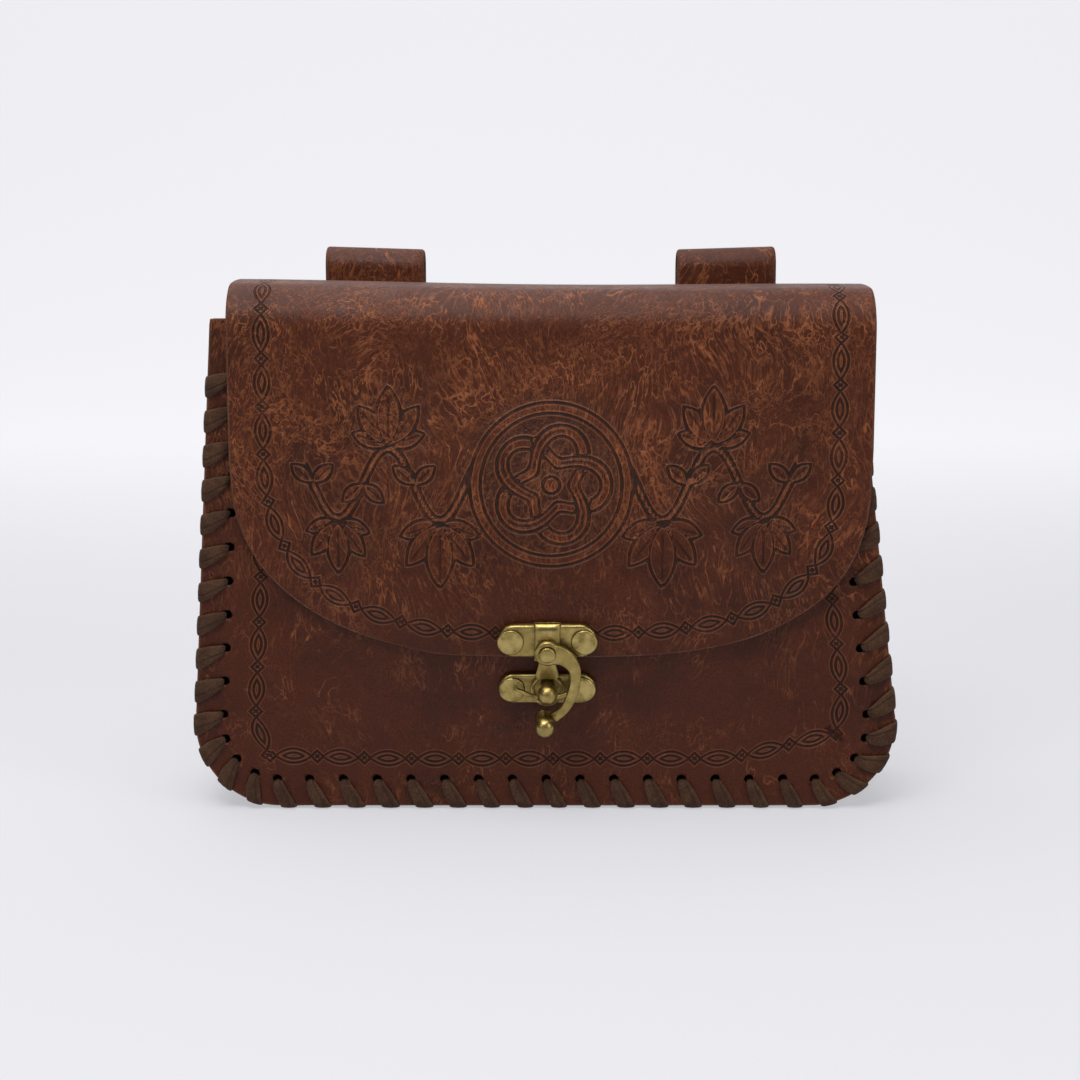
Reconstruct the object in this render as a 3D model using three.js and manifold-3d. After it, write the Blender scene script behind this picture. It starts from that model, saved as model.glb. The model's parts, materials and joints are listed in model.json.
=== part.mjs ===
// Laced leather belt pouch with a swing clasp and two belt loops.
// Millimetres, +Z up, the front faces -Y and +X is to the viewer's right.
import * as THREE from 'three';
import { mergeVertices } from 'three/addons/utils/BufferGeometryUtils.js';
import Module from 'manifold-3d';

const wasm = await Module();
wasm.setup();

// Body: a front and a back panel joined by one U-shaped gusset strip
const BASE_WIDTH = 208;        // between the side lines where they meet the bottom line
const TOP_WIDTH = 182.4;       // across the panels at their top edge
const TOP_LEAN = -4.3;         // the top sits this far to the left of the base
const PANEL_HEIGHT = 141.8;    // front panel, bottom edge to top edge
const GUSSET_HEIGHT = 135.5;   // the strip ends just below the bend of the back
const CORNER_RADIUS = 24;
const BODY_DEPTH = 45.6;       // over both panels at the seams
const WALL = 1.8;              // leather thickness
const GAP = 0.35;              // air between two pieces that lie on each other
const BULGE = 9;               // how far the filled front stands out of the seam plane
const SEAM = 10;               // flat band along the seam that carries the lacing
const SIDE_REACH = 62;         // from the seam band to full bulge, from a side
const BOTTOM_REACH = 60;       // the same from the bottom
const TAPER_START = 80;        // height at which the bulge starts to flatten again
const TAPER_END = 137;

// Lacing: one flat thong for each seam, whipped over the edge
const LACE_PITCH = 9.93;
const LACE_PHASE = -0.6;       // nearest hole to the bottom centre of the seam
const LACE_INSET = 7.5;        // from the edge to the hole centres
const LACE_THICKNESS = 1;
const LACE_WIDTH = 4.4;
const LACE_NECK = 1.6;         // its width where it is gathered through a hole
const HOLE_SIZE = 2.4;         // the holes are punched square here, round in the leather
const FIRST_STITCH = 6.5;      // from the top of the left side to the first hole
const LAST_STITCH = 15;        // from the last hole to the top of the right side

// Flap: the back panel runs on over the top and hangs down in front
const FLAP_WIDTH = 182.5;
const FLAP_SHIFT = 0.75;
const ARCH_TOP = 151.8;
const ARCH_DROP = 1.4;         // the right end of the arch is this much lower
const BACK_BEND = 14;          // outside radius of the bend behind
const FRONT_BEND = 12.5;       // outside radius of the bend in front
const CROWN_ANGLE = THREE.MathUtils.degToRad(4);
const FLAP_TIP = 46.4;         // height of the lower edge in the middle
const FLAP_SHOULDER = 104.8;   // height at which the sides start to curve inwards
const LEFT_ROUNDNESS = 2.6;    // exponents of the two superellipse corners
const RIGHT_ROUNDNESS = 3;
const FLAP_WAVES = [
  { x: -31, reach: 15, lift: 2.2, height: 34 },
  { x: 58, reach: 26, lift: 0.9, height: 26 },
];

// Belt loops: straps folded over into flat loops behind the back
const LOOP_WIDTH = 30;
const LOOP_SPACING = 107;
const LOOP_SHIFT = 0.9;
const LOOP_STRAP = 2;
const LOOP_SPACE = 8;          // room for the belt, front to back
const LOOP_TOP = 160.8;
const LOOP_FOOT = 72;          // lower end of the strap
const LOOP_TAIL = 13;          // length of the part where both layers lie together
const LOOP_RIVETS = 14;        // between the two rivets of a loop

// Clasp: places are given along the leather (across, up) and out from it (level)
const CLASP_X = -0.3;
const CLASP_HEIGHT = 36.6;     // of the middle of the lower plate
const PLATE_SPACING = 16.2;    // from the lower plate up to the upper one
const UPPER_PLATE = { length: 28.6, height: 10, thickness: 2.3, draft: 0.5, rivetSpacing: 21 };
const LOWER_PLATE = { length: 28.2, height: 9.3, thickness: 1.9, draft: 0.4, rivetSpacing: 20.4 };
const BRIDGE = { width: 8.2, thickness: 3.3, draft: 1.3 };
const TONGUE = { neck: 5.3, thickness: 1.5, ringOuter: 4.9, ringInner: 3.85, ringUp: 0.3 };
const POST = { up: 2, radius: 1.5, ball: 2.9, ballLevel: 10 };
const PIVOT_UP = 13.7;
const PIVOT = { radius: 1.2, head: 2.4, headHeight: 0.8, play: 0.3 };
const ARM_THICKNESS = 2;
const HUB_RADIUS = 3.75;
const PRONG = { radius: 14.15, width: 1.2, thickness: 1.3, rootAngle: 24, tipAngle: -39 };
const KNOB = { across: -0.7, up: -7.1, base: 2.9, stem: 1.8, ball: 3, ballLevel: 12.3 };
const ARM_LINE = [
  { across: 0, up: 13.7, width: 6.4 },
  { across: 4.4, up: 12.7, width: 5.4 },
  { across: 7.4, up: 9.6, width: 3.9 },
  { across: 8, up: 6, width: 3.1 },
  { across: 7.2, up: 1.3, width: 3.1 },
  { across: 5.2, up: -3.3, width: 2.7 },
  { across: 1.8, up: -6.5, width: 3 },
];
const PLATE_SEAT = 0.55;        // the flat upper plate clears the curved flap by this much
const RIVET = { head: 3.8, headHeight: 0.6, shank: 1.2, washer: 3.2 };

const HALF_DEPTH = BODY_DEPTH / 2;
const LACE_LEVEL = GAP + LACE_THICKNESS / 2;
const STAND_OFF = 2 * GAP + LACE_THICKNESS;
const FLAP_LEFT = FLAP_SHIFT - FLAP_WIDTH / 2;
const FLAP_RIGHT = FLAP_SHIFT + FLAP_WIDTH / 2;
const ARCH_STEPS = 4;
const COLUMNS = 12;
const ROW_HEIGHT = 11.4;

const { smoothstep, lerp, clamp, degToRad } = THREE.MathUtils;

// Turns a closed geometry into a solid that can be cut and joined.
function toSolid(geometry) {
  const bare = geometry.clone();
  bare.deleteAttribute('normal');
  bare.deleteAttribute('uv');
  const merged = mergeVertices(bare, 1e-4);
  return new wasm.Manifold(new wasm.Mesh({
    numProp: 3,
    vertProperties: Float32Array.from(merged.attributes.position.array),
    triVerts: Uint32Array.from(merged.index.array),
  }));
}

// Turns a solid back into a geometry with flat-shaded normals.
function toGeometry(solid) {
  const mesh = solid.getMesh();
  const geometry = new THREE.BufferGeometry();
  geometry.setAttribute('position', new THREE.BufferAttribute(mesh.vertProperties, 3));
  geometry.setIndex(new THREE.BufferAttribute(mesh.triVerts, 1));
  geometry.computeVertexNormals();
  return geometry;
}

// Joins a list of solids into one.
function joined(solids) {
  return solids.reduce((whole, solid) => whole.add(solid));
}

// Cuts each solid of a list from a body.
function without(body, cutters) {
  return body.subtract(joined(cutters));
}

// A flat outline in the (x, z) plane, made solid from y0 to y1.
function slab(shape, y0, y1) {
  const geometry = new THREE.ExtrudeGeometry(shape, { depth: y1 - y0, bevelEnabled: false });
  geometry.rotateX(Math.PI / 2);
  geometry.translate(0, y1, 0);
  return geometry;
}

// A closed strip through rings of equal length, with its two ends capped.
function sweptRings(rings) {
  const count = rings[0].length;
  const positions = rings.flat().flatMap((point) => [point.x, point.y, point.z]);
  const index = [];
  for (let i = 0; i < rings.length - 1; i += 1) {
    for (let j = 0; j < count; j += 1) {
      const a = i * count + j;
      const b = i * count + ((j + 1) % count);
      index.push(a, b, b + count, a, b + count, a + count);
    }
  }
  const last = (rings.length - 1) * count;
  for (let j = 1; j < count - 1; j += 1) {
    index.push(0, j + 1, j);
    index.push(last, last + j, last + j + 1);
  }
  const geometry = new THREE.BufferGeometry();
  geometry.setAttribute('position', new THREE.BufferAttribute(new Float32Array(positions), 3));
  geometry.setIndex(index);
  return geometry;
}

// A closed sheet from two grids of points, rows by columns: its outer and its inner face.
function sheet(outer, inner) {
  const rows = outer.length;
  const columns = outer[0].length;
  const positions = [...outer.flat(), ...inner.flat()].flatMap((p) => [p.x, p.y, p.z]);
  const index = [];
  const at = (side, row, column) => (side * rows + row) * columns + column;
  const quad = (a, b, c, d) => index.push(a, b, c, a, c, d);
  for (let i = 0; i < rows - 1; i += 1) {
    for (let j = 0; j < columns - 1; j += 1) {
      quad(at(0, i, j), at(0, i + 1, j), at(0, i + 1, j + 1), at(0, i, j + 1));
      quad(at(1, i, j), at(1, i, j + 1), at(1, i + 1, j + 1), at(1, i + 1, j));
    }
    quad(at(0, i, 0), at(1, i, 0), at(1, i + 1, 0), at(0, i + 1, 0));
    const end = columns - 1;
    quad(at(0, i, end), at(0, i + 1, end), at(1, i + 1, end), at(1, i, end));
  }
  for (let j = 0; j < columns - 1; j += 1) {
    const foot = rows - 1;
    quad(at(0, 0, j), at(0, 0, j + 1), at(1, 0, j + 1), at(1, 0, j));
    quad(at(0, foot, j), at(1, foot, j), at(1, foot, j + 1), at(0, foot, j + 1));
  }
  const geometry = new THREE.BufferGeometry();
  geometry.setAttribute('position', new THREE.BufferAttribute(new Float32Array(positions), 3));
  geometry.setIndex(index);
  return geometry;
}

// The two side lines: a point at the bottom, the direction up and the outward normal.
function sideLine(side) {
  const foot = new THREE.Vector2((side * BASE_WIDTH) / 2, 0);
  const head = new THREE.Vector2(TOP_LEAN + (side * TOP_WIDTH) / 2, PANEL_HEIGHT);
  const up = head.sub(foot).normalize();
  return { foot, up, outward: new THREE.Vector2(side * up.y, -side * up.x) };
}
const LEFT = sideLine(-1);
const RIGHT = sideLine(1);

// Distance from a point of the front view to a side line, inwards.
function insideOf(line, x, z) {
  return (line.foot.x - x) * line.outward.x + (line.foot.y - z) * line.outward.y;
}

// Place of a side line at a height.
function sideAt(line, z) {
  return line.foot.x + (line.up.x / line.up.y) * z;
}

// Centre of the rounded corner between a side line and the bottom line.
function cornerCentre(line) {
  const reach = line.foot.dot(line.outward) - CORNER_RADIUS;
  const x = (reach - CORNER_RADIUS * line.outward.y) / line.outward.x;
  return new THREE.Vector2(x, CORNER_RADIUS);
}
const LEFT_CENTRE = cornerCentre(LEFT);
const RIGHT_CENTRE = cornerCentre(RIGHT);

// The U of the seam, down the left, along the bottom and up the right, at an inset.
function seamPath(inset, top) {
  const radius = CORNER_RADIUS - inset;
  const path = new THREE.Path();
  const start = new THREE.Vector2(sideAt(LEFT, top), top).addScaledVector(LEFT.outward, -inset);
  const end = new THREE.Vector2(sideAt(RIGHT, top), top).addScaledVector(RIGHT.outward, -inset);
  const tangent = LEFT_CENTRE.clone().addScaledVector(LEFT.outward, radius);
  path.moveTo(start.x, start.y);
  path.lineTo(tangent.x, tangent.y);
  path.absarc(LEFT_CENTRE.x, LEFT_CENTRE.y, radius, LEFT.outward.angle(), 1.5 * Math.PI);
  const rightAngle = RIGHT.outward.angle() + 2 * Math.PI;
  path.absarc(RIGHT_CENTRE.x, RIGHT_CENTRE.y, radius, 1.5 * Math.PI, rightAngle);
  path.lineTo(end.x, end.y);
  return path;
}

const SEAM_EDGE = seamPath(0, PANEL_HEIGHT);
const SEAM_LENGTH = SEAM_EDGE.getLength();
const BOTTOM_CENTRE = SEAM_EDGE.getCurveLengths()[1] - LEFT_CENTRE.x;

// Point of the seam edge at a length along it, with the outward and the forward direction.
function seamStation(length) {
  const share = clamp(length / SEAM_LENGTH, 0, 1);
  const point = SEAM_EDGE.getPointAt(share);
  const forward = SEAM_EDGE.getTangentAt(share);
  return { point, forward, outward: new THREE.Vector2(forward.y, -forward.x) };
}

// Lengths along the seam edge at which the holes of a panel lie.
function stitchLengths() {
  const origin = BOTTOM_CENTRE + LACE_PHASE;
  const first = Math.ceil((FIRST_STITCH - origin) / LACE_PITCH);
  const last = Math.floor((SEAM_LENGTH - LAST_STITCH - origin) / LACE_PITCH);
  return Array.from({ length: last - first + 1 }, (_, i) => origin + (first + i) * LACE_PITCH);
}

// Share of the full bulge at a point of the front view.
function fullness(x, z) {
  const sides = smoothstep(insideOf(LEFT, x, z), SEAM, SEAM + SIDE_REACH)
    * smoothstep(insideOf(RIGHT, x, z), SEAM, SEAM + SIDE_REACH);
  return sides * smoothstep(z, SEAM, SEAM + BOTTOM_REACH) * (1 - smoothstep(z, TAPER_START, TAPER_END));
}

// Lift of the flap's free edge, in soft waves that die out upwards.
function edgeLift(x, z) {
  return FLAP_WAVES.reduce((sum, wave) => {
    const across = clamp((x - wave.x) / wave.reach, -1, 1);
    const edge = flapEdge(x);
    return sum + wave.lift * Math.cos((across * Math.PI) / 2) ** 2
      * (1 - smoothstep(z, edge, edge + wave.height));
  }, 0);
}

// Air between the front panel and the flap: more over the lacing, less in the middle.
function flapGap(x, z) {
  const near = smoothstep(insideOf(LEFT, x, z), SEAM, 3 * SEAM)
    * smoothstep(insideOf(RIGHT, x, z), SEAM, 3 * SEAM)
    * (1 - smoothstep(z, TAPER_START, TAPER_END));
  return lerp(STAND_OFF, GAP, near);
}

// Height of the flap's lower edge at a place across it: one superellipse for each half.
function flapEdge(x) {
  const roundness = x < FLAP_SHIFT ? LEFT_ROUNDNESS : RIGHT_ROUNDNESS;
  const share = clamp(Math.abs(x - FLAP_SHIFT) / (FLAP_WIDTH / 2), 0, 1);
  const drop = (1 - share ** roundness) ** (1 / roundness);
  return FLAP_SHOULDER - (FLAP_SHOULDER - FLAP_TIP) * drop;
}

// Depth of the outer face of the front panel.
function panelFace(x, z) {
  return -HALF_DEPTH - BULGE * fullness(x, z);
}

// Depth of the outer face of the hanging flap.
function flapFace(x, z) {
  return panelFace(x, z) - flapGap(x, z) - WALL - edgeLift(x, z);
}

// Section of the sheet over the top, from the back bend to the front: outer points with normals.
function archSection() {
  const depth = BODY_DEPTH + STAND_OFF + WALL;
  const bendSpan = 1 - Math.sin(CROWN_ANGLE);
  const crown = (depth - (BACK_BEND + FRONT_BEND) * bendSpan) / (2 * Math.sin(CROWN_ANGLE));
  const rise = BACK_BEND * Math.cos(CROWN_ANGLE) + crown * (1 - Math.cos(CROWN_ANGLE));
  const bend = Math.PI / 2 - CROWN_ANGLE;
  const arcs = [
    { radius: BACK_BEND, turn: bend, steps: ARCH_STEPS },
    { radius: crown, turn: 2 * CROWN_ANGLE, steps: 2 },
    { radius: FRONT_BEND, turn: bend, steps: ARCH_STEPS },
  ];
  const points = [{ y: HALF_DEPTH, z: ARCH_TOP - rise, angle: 0 }];
  for (const arc of arcs) {
    const step = arc.turn / arc.steps;
    for (let i = 0; i < arc.steps; i += 1) {
      const from = points.at(-1);
      const angle = from.angle + step;
      points.push({
        y: from.y - arc.radius * (Math.cos(from.angle) - Math.cos(angle)),
        z: from.z + arc.radius * (Math.sin(angle) - Math.sin(from.angle)),
        angle,
      });
    }
  }
  return points;
}
const ARCH = archSection();
const ARCH_FOOT = ARCH[0].z;
const FLAP_START = ARCH.at(-1).z;

// Heights of the grid rows that the flap and the front panel share, from the top down.
function sharedRows(top, bottom) {
  const rows = [];
  for (let z = FLAP_START; z > bottom; z -= ROW_HEIGHT) {
    rows.push(z);
  }
  return [...rows.filter((z) => z < top - 1), bottom];
}

// Places across at which the flap and the front panel share their columns.
function sharedColumns() {
  return Array.from({ length: COLUMNS }, (_, j) => lerp(FLAP_LEFT, FLAP_RIGHT, j / (COLUMNS - 1)));
}

// Square cutters through a panel, one for each stitch.
function panelHoles(side) {
  return stitchLengths().map((length) => {
    const { point, outward } = seamStation(length);
    const hole = new THREE.BoxGeometry(HOLE_SIZE, 4 * WALL, HOLE_SIZE);
    hole.rotateY(-outward.angle());
    hole.translate(
      point.x - LACE_INSET * outward.x,
      side * HALF_DEPTH,
      point.y - LACE_INSET * outward.y,
    );
    return toSolid(hole);
  });
}

// Square cutters through the gusset, half a pitch on from the holes of the panel.
function gussetHoles(side) {
  return stitchLengths().map((length) => {
    const { point, outward } = seamStation(length + LACE_PITCH / 2);
    const hole = new THREE.BoxGeometry(4 * WALL, HOLE_SIZE, HOLE_SIZE);
    hole.rotateY(-outward.angle());
    hole.translate(point.x, side * (HALF_DEPTH - LACE_INSET), point.y);
    return toSolid(hole);
  });
}

// Front panel: a sheet with the bulge, cut to its outline and punched.
function frontPanel() {
  const xs = [-BASE_WIDTH / 2 - 4, ...sharedColumns(), BASE_WIDTH / 2 + 4];
  const zs = [PANEL_HEIGHT, ...sharedRows(PANEL_HEIGHT, -4)];
  const face = (offset) => zs.map((z) => xs.map(
    (x) => new THREE.Vector3(x, panelFace(x, z) + offset, z),
  ));
  const outline = new THREE.Shape(seamPath(0, PANEL_HEIGHT + 4).getPoints(5));
  const blank = toSolid(sheet(face(0), face(WALL)));
  const body = blank.intersect(toSolid(slab(outline, -2 * BODY_DEPTH, 0)));
  return without(body, [
    ...panelHoles(-1),
    ...rivetHoles(LOWER_PLATE.rivetSpacing, 0),
  ]);
}

// Gusset: a U-shaped strip between the two panels.
function gusset() {
  const outer = seamPath(0, GUSSET_HEIGHT).getPoints(5);
  const inner = seamPath(WALL, GUSSET_HEIGHT).getPoints(5);
  const shape = new THREE.Shape([...outer, ...inner.reverse()]);
  const reach = HALF_DEPTH - WALL - GAP;
  return without(toSolid(slab(shape, -reach, reach)), [...gussetHoles(-1), ...gussetHoles(1)]);
}

// Outline that trims the back panel's lower corners and bottom edge.
function backTrim() {
  const arcs = seamPath(0, PANEL_HEIGHT).getPoints(5).slice(1, -1);
  const margin = BASE_WIDTH;
  return new THREE.Shape([
    new THREE.Vector2(-margin, arcs[0].y),
    ...arcs,
    new THREE.Vector2(margin, arcs.at(-1).y),
    new THREE.Vector2(margin, -margin),
    new THREE.Vector2(-margin, -margin),
  ]);
}

// Outline that trims the flap to its rounded lower edge.
function flapTrim() {
  const steps = 24;
  const points = Array.from({ length: steps + 1 }, (_, i) => {
    const x = FLAP_SHIFT - (FLAP_WIDTH / 2) * Math.cos((Math.PI * i) / steps);
    return new THREE.Vector2(x, flapEdge(x));
  });
  return new THREE.Shape([
    new THREE.Vector2(-BASE_WIDTH, FLAP_SHOULDER),
    ...points,
    new THREE.Vector2(BASE_WIDTH, FLAP_SHOULDER),
    new THREE.Vector2(BASE_WIDTH, 0),
    new THREE.Vector2(-BASE_WIDTH, 0),
  ]);
}

// Back panel and flap: one sheet up the back, over the top and down the front.
function backAndFlap() {
  const shares = Array.from({ length: COLUMNS }, (_, j) => j / (COLUMNS - 1));
  const archRow = (section, offset, blend) => shares.map((share) => {
    const left = lerp(sideAt(LEFT, section.z), FLAP_LEFT, blend);
    const right = lerp(sideAt(RIGHT, section.z), FLAP_RIGHT, blend);
    const roll = blend * ARCH_DROP * (share - 0.5);
    return new THREE.Vector3(
      lerp(left, right, share),
      section.y - offset * Math.cos(section.angle),
      section.z - offset * Math.sin(section.angle) - roll,
    );
  });
  const face = (offset) => {
    const rows = [archRow({ y: HALF_DEPTH, z: -4, angle: 0 }, offset, 0)];
    ARCH.forEach((section, i) => {
      rows.push(archRow(section, offset, smoothstep(i, 0, ARCH_STEPS)));
    });
    sharedRows(FLAP_START, FLAP_TIP - 6).forEach((z) => {
      rows.push(sharedColumns().map((x) => new THREE.Vector3(x, flapFace(x, z) + offset, z)));
    });
    return rows;
  };
  const blank = toSolid(sheet(face(0), face(WALL)));
  return without(blank, [
    toSolid(slab(backTrim(), HALF_DEPTH - 10, HALF_DEPTH + 10)),
    toSolid(slab(flapTrim(), -2 * BODY_DEPTH, 0)),
    ...panelHoles(1),
    ...rivetHoles(UPPER_PLATE.rivetSpacing, PLATE_SPACING),
    ...loopCentres().flatMap((x) => loopRivetHoles(x)),
  ]);
}

// One flat thong: out through a hole, over the edge, in through the gusset and on to the next.
function lacing(side) {
  const inside = HALF_DEPTH - WALL - LACE_LEVEL;
  const outside = HALF_DEPTH + LACE_LEVEL;
  const turn = [
    { out: -LACE_INSET, depth: inside, ahead: 0, width: LACE_NECK },
    { out: -LACE_INSET, depth: outside, ahead: 0, width: LACE_NECK },
    { out: LACE_LEVEL, depth: outside, ahead: 0.28, width: LACE_WIDTH },
    { out: LACE_LEVEL, depth: HALF_DEPTH - LACE_INSET, ahead: 0.5, width: LACE_NECK },
    { out: -WALL - LACE_LEVEL, depth: HALF_DEPTH - LACE_INSET, ahead: 0.5, width: LACE_NECK },
  ];
  const direction = (from, to) => new THREE.Vector2(to.out - from.out, to.depth - from.depth)
    .normalize();
  const rings = stitchLengths().flatMap((length) => turn.map((stop, i) => {
    const before = direction(turn.at(i - 1), stop);
    const after = direction(stop, turn[(i + 1) % turn.length]);
    const along = before.clone().add(after).normalize();
    const half = LACE_THICKNESS / 2 / Math.max(along.dot(after), 0.7);
    const { point, forward, outward } = seamStation(length + stop.ahead * LACE_PITCH);
    const corner = (across, through) => {
      const out = stop.out - through * half * along.y;
      const depth = stop.depth + through * half * along.x;
      const slip = (across * stop.width) / 2;
      return new THREE.Vector3(
        point.x + out * outward.x + slip * forward.x,
        side * depth,
        point.y + out * outward.y + slip * forward.y,
      );
    };
    const ring = [corner(-1, -1), corner(1, -1), corner(1, 1), corner(-1, 1)];
    return side < 0 ? ring : ring.reverse();
  }));
  return toSolid(sweptRings(rings));
}

// Centres of the two belt loops.
function loopCentres() {
  return [-1, 1].map((side) => LOOP_SHIFT + (side * LOOP_SPACING) / 2);
}

// Section of a belt loop, seen from the side: y across, z up.
function loopSection() {
  const near = HALF_DEPTH + GAP;
  const far = near + 2 * LOOP_STRAP + LOOP_SPACE;
  const outerRadius = (far - near) / 2;
  const middle = (near + far) / 2;
  const tailTop = LOOP_FOOT + LOOP_TAIL;
  const shape = new THREE.Shape();
  shape.moveTo(near, LOOP_FOOT);
  shape.lineTo(near + 2 * LOOP_STRAP, LOOP_FOOT);
  shape.lineTo(near + 2 * LOOP_STRAP, tailTop);
  shape.quadraticCurveTo(far, tailTop + LOOP_STRAP, far, tailTop + LOOP_TAIL);
  shape.lineTo(far, LOOP_TOP - outerRadius);
  shape.absarc(middle, LOOP_TOP - outerRadius, outerRadius, 0, Math.PI);
  shape.closePath();
  const hole = new THREE.Path();
  hole.moveTo(near + LOOP_STRAP, tailTop + LOOP_STRAP);
  hole.quadraticCurveTo(far - LOOP_STRAP, tailTop + 2 * LOOP_STRAP, far - LOOP_STRAP, tailTop + LOOP_TAIL);
  hole.lineTo(far - LOOP_STRAP, LOOP_TOP - outerRadius);
  hole.absarc(middle, LOOP_TOP - outerRadius, outerRadius - LOOP_STRAP, 0, Math.PI);
  hole.closePath();
  shape.holes.push(hole);
  return shape;
}

// A belt loop: the section made solid across its width and punched for its rivets.
function beltLoop(x) {
  const geometry = new THREE.ExtrudeGeometry(loopSection(), {
    depth: LOOP_WIDTH,
    bevelEnabled: false,
    curveSegments: 6,
  });
  const upright = new THREE.Matrix4().makeBasis(
    new THREE.Vector3(0, 1, 0),
    new THREE.Vector3(0, 0, 1),
    new THREE.Vector3(1, 0, 0),
  );
  geometry.applyMatrix4(upright);
  geometry.translate(x - LOOP_WIDTH / 2, 0, 0);
  return without(toSolid(geometry), loopRivetHoles(x));
}

// Places of a loop's rivets.
function loopRivetPlaces(x) {
  return [-1, 1].map((side) => new THREE.Vector3(
    x + (side * LOOP_RIVETS) / 2,
    HALF_DEPTH,
    LOOP_FOOT + LOOP_TAIL / 2,
  ));
}

// Cutters for the rivets of a loop.
function loopRivetHoles(x) {
  return loopRivetPlaces(x).map((place) => {
    const radius = RIVET.shank + GAP;
    const hole = new THREE.CylinderGeometry(radius, radius, 6 * LOOP_STRAP, 8);
    hole.translate(place.x, place.y, place.z);
    return toSolid(hole);
  });
}

// A rivet about the Y axis, with its head outside and a washer head inside.
function rivet(outerFace, innerFace, hasWasher) {
  const profile = [
    new THREE.Vector2(0, outerFace + GAP + RIVET.headHeight),
    new THREE.Vector2(RIVET.head, outerFace + GAP + RIVET.headHeight),
    new THREE.Vector2(RIVET.head, outerFace + GAP),
    new THREE.Vector2(RIVET.shank, outerFace + GAP),
  ];
  if (hasWasher) {
    profile.push(
      new THREE.Vector2(RIVET.shank, innerFace - GAP),
      new THREE.Vector2(RIVET.washer, innerFace - GAP),
      new THREE.Vector2(RIVET.washer, innerFace - GAP - RIVET.headHeight),
      new THREE.Vector2(0, innerFace - GAP - RIVET.headHeight),
    );
  } else {
    profile.push(new THREE.Vector2(RIVET.shank, innerFace), new THREE.Vector2(0, innerFace));
  }
  return new THREE.LatheGeometry(profile.reverse(), 9);
}

// The clasp's own frame: X across, Y up along the leather, Z out from it.
function claspFrame() {
  const low = panelFace(CLASP_X, CLASP_HEIGHT);
  const high = panelFace(CLASP_X, CLASP_HEIGHT + PLATE_SPACING);
  const group = new THREE.Group();
  group.position.set(CLASP_X, low, CLASP_HEIGHT);
  group.rotation.x = Math.PI / 2 + Math.atan2(low - high, PLATE_SPACING);
  group.updateMatrixWorld(true);
  return group;
}
const CLASP = claspFrame();

// Cutters for the two rivets of a plate, square to the clasp's frame.
function rivetHoles(spacing, up) {
  return [-1, 1].map((side) => {
    const radius = RIVET.shank + GAP;
    const hole = new THREE.CylinderGeometry(radius, radius, 8, 8);
    hole.rotateX(Math.PI / 2);
    hole.translate((side * spacing) / 2, up, 0);
    hole.applyMatrix4(CLASP.matrixWorld);
    return toSolid(hole);
  });
}

// A flat outline in the clasp's frame, made solid between two levels and narrowed by a draft.
function plate(shape, level, thickness, draft, centre) {
  const geometry = new THREE.ExtrudeGeometry(shape, {
    depth: thickness,
    bevelEnabled: false,
    curveSegments: 5,
  });
  geometry.computeBoundingBox();
  const half = geometry.boundingBox.getSize(new THREE.Vector3()).multiplyScalar(0.5);
  const position = geometry.attributes.position;
  for (let i = 0; i < position.count; i += 1) {
    if (position.getZ(i) > thickness / 2) {
      position.setX(i, centre.x + (position.getX(i) - centre.x) * (1 - draft / half.x));
      position.setY(i, centre.y + (position.getY(i) - centre.y) * (1 - draft / half.y));
    }
  }
  geometry.translate(0, 0, level);
  return geometry;
}

// A bar with round ends, lying across.
function barShape(length, height, up) {
  const radius = height / 2;
  const reach = length / 2 - radius;
  const shape = new THREE.Shape();
  shape.absarc(reach, up, radius, -Math.PI / 2, Math.PI / 2);
  shape.absarc(-reach, up, radius, Math.PI / 2, 1.5 * Math.PI);
  shape.closePath();
  return shape;
}

// A round post or pin in the clasp's frame.
function pin(radius, across, up, from, to, sides) {
  const geometry = new THREE.CylinderGeometry(radius, radius, to - from, sides);
  geometry.rotateX(Math.PI / 2);
  geometry.translate(across, up, (from + to) / 2);
  return toSolid(geometry);
}

// A ball in the clasp's frame.
function ball(radius, across, up, level) {
  const geometry = new THREE.SphereGeometry(radius, 10, 7);
  geometry.rotateX(Math.PI / 2);
  geometry.translate(across, up, level);
  return toSolid(geometry);
}

const FLAP_LEVEL = GAP + WALL;
const UPPER_LEVEL = FLAP_LEVEL + PLATE_SEAT;
const BRIDGE_FACE = UPPER_LEVEL + BRIDGE.thickness;
const ARM_LEVEL = BRIDGE_FACE + GAP;
const RING_LEVEL = GAP + LOWER_PLATE.thickness + GAP;

// Lower plate on the front panel, with the post and ball that the tongue drops over.
function lowerPlate() {
  const { length, height, thickness, draft, rivetSpacing } = LOWER_PLATE;
  const base = toSolid(plate(barShape(length, height, 0), GAP, thickness, draft, { x: 0, y: 0 }));
  const body = joined([
    base,
    pin(POST.radius, 0, POST.up, GAP + thickness / 2, POST.ballLevel, 12),
    ball(POST.ball, 0, POST.up, POST.ballLevel),
  ]);
  return without(body, plateHoles(rivetSpacing, 0));
}

// Cutters for the rivets of a plate, in the clasp's frame.
function plateHoles(spacing, up) {
  return [-1, 1].map((side) => pin(RIVET.shank + GAP, (side * spacing) / 2, up, -2, 12, 8));
}

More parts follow.
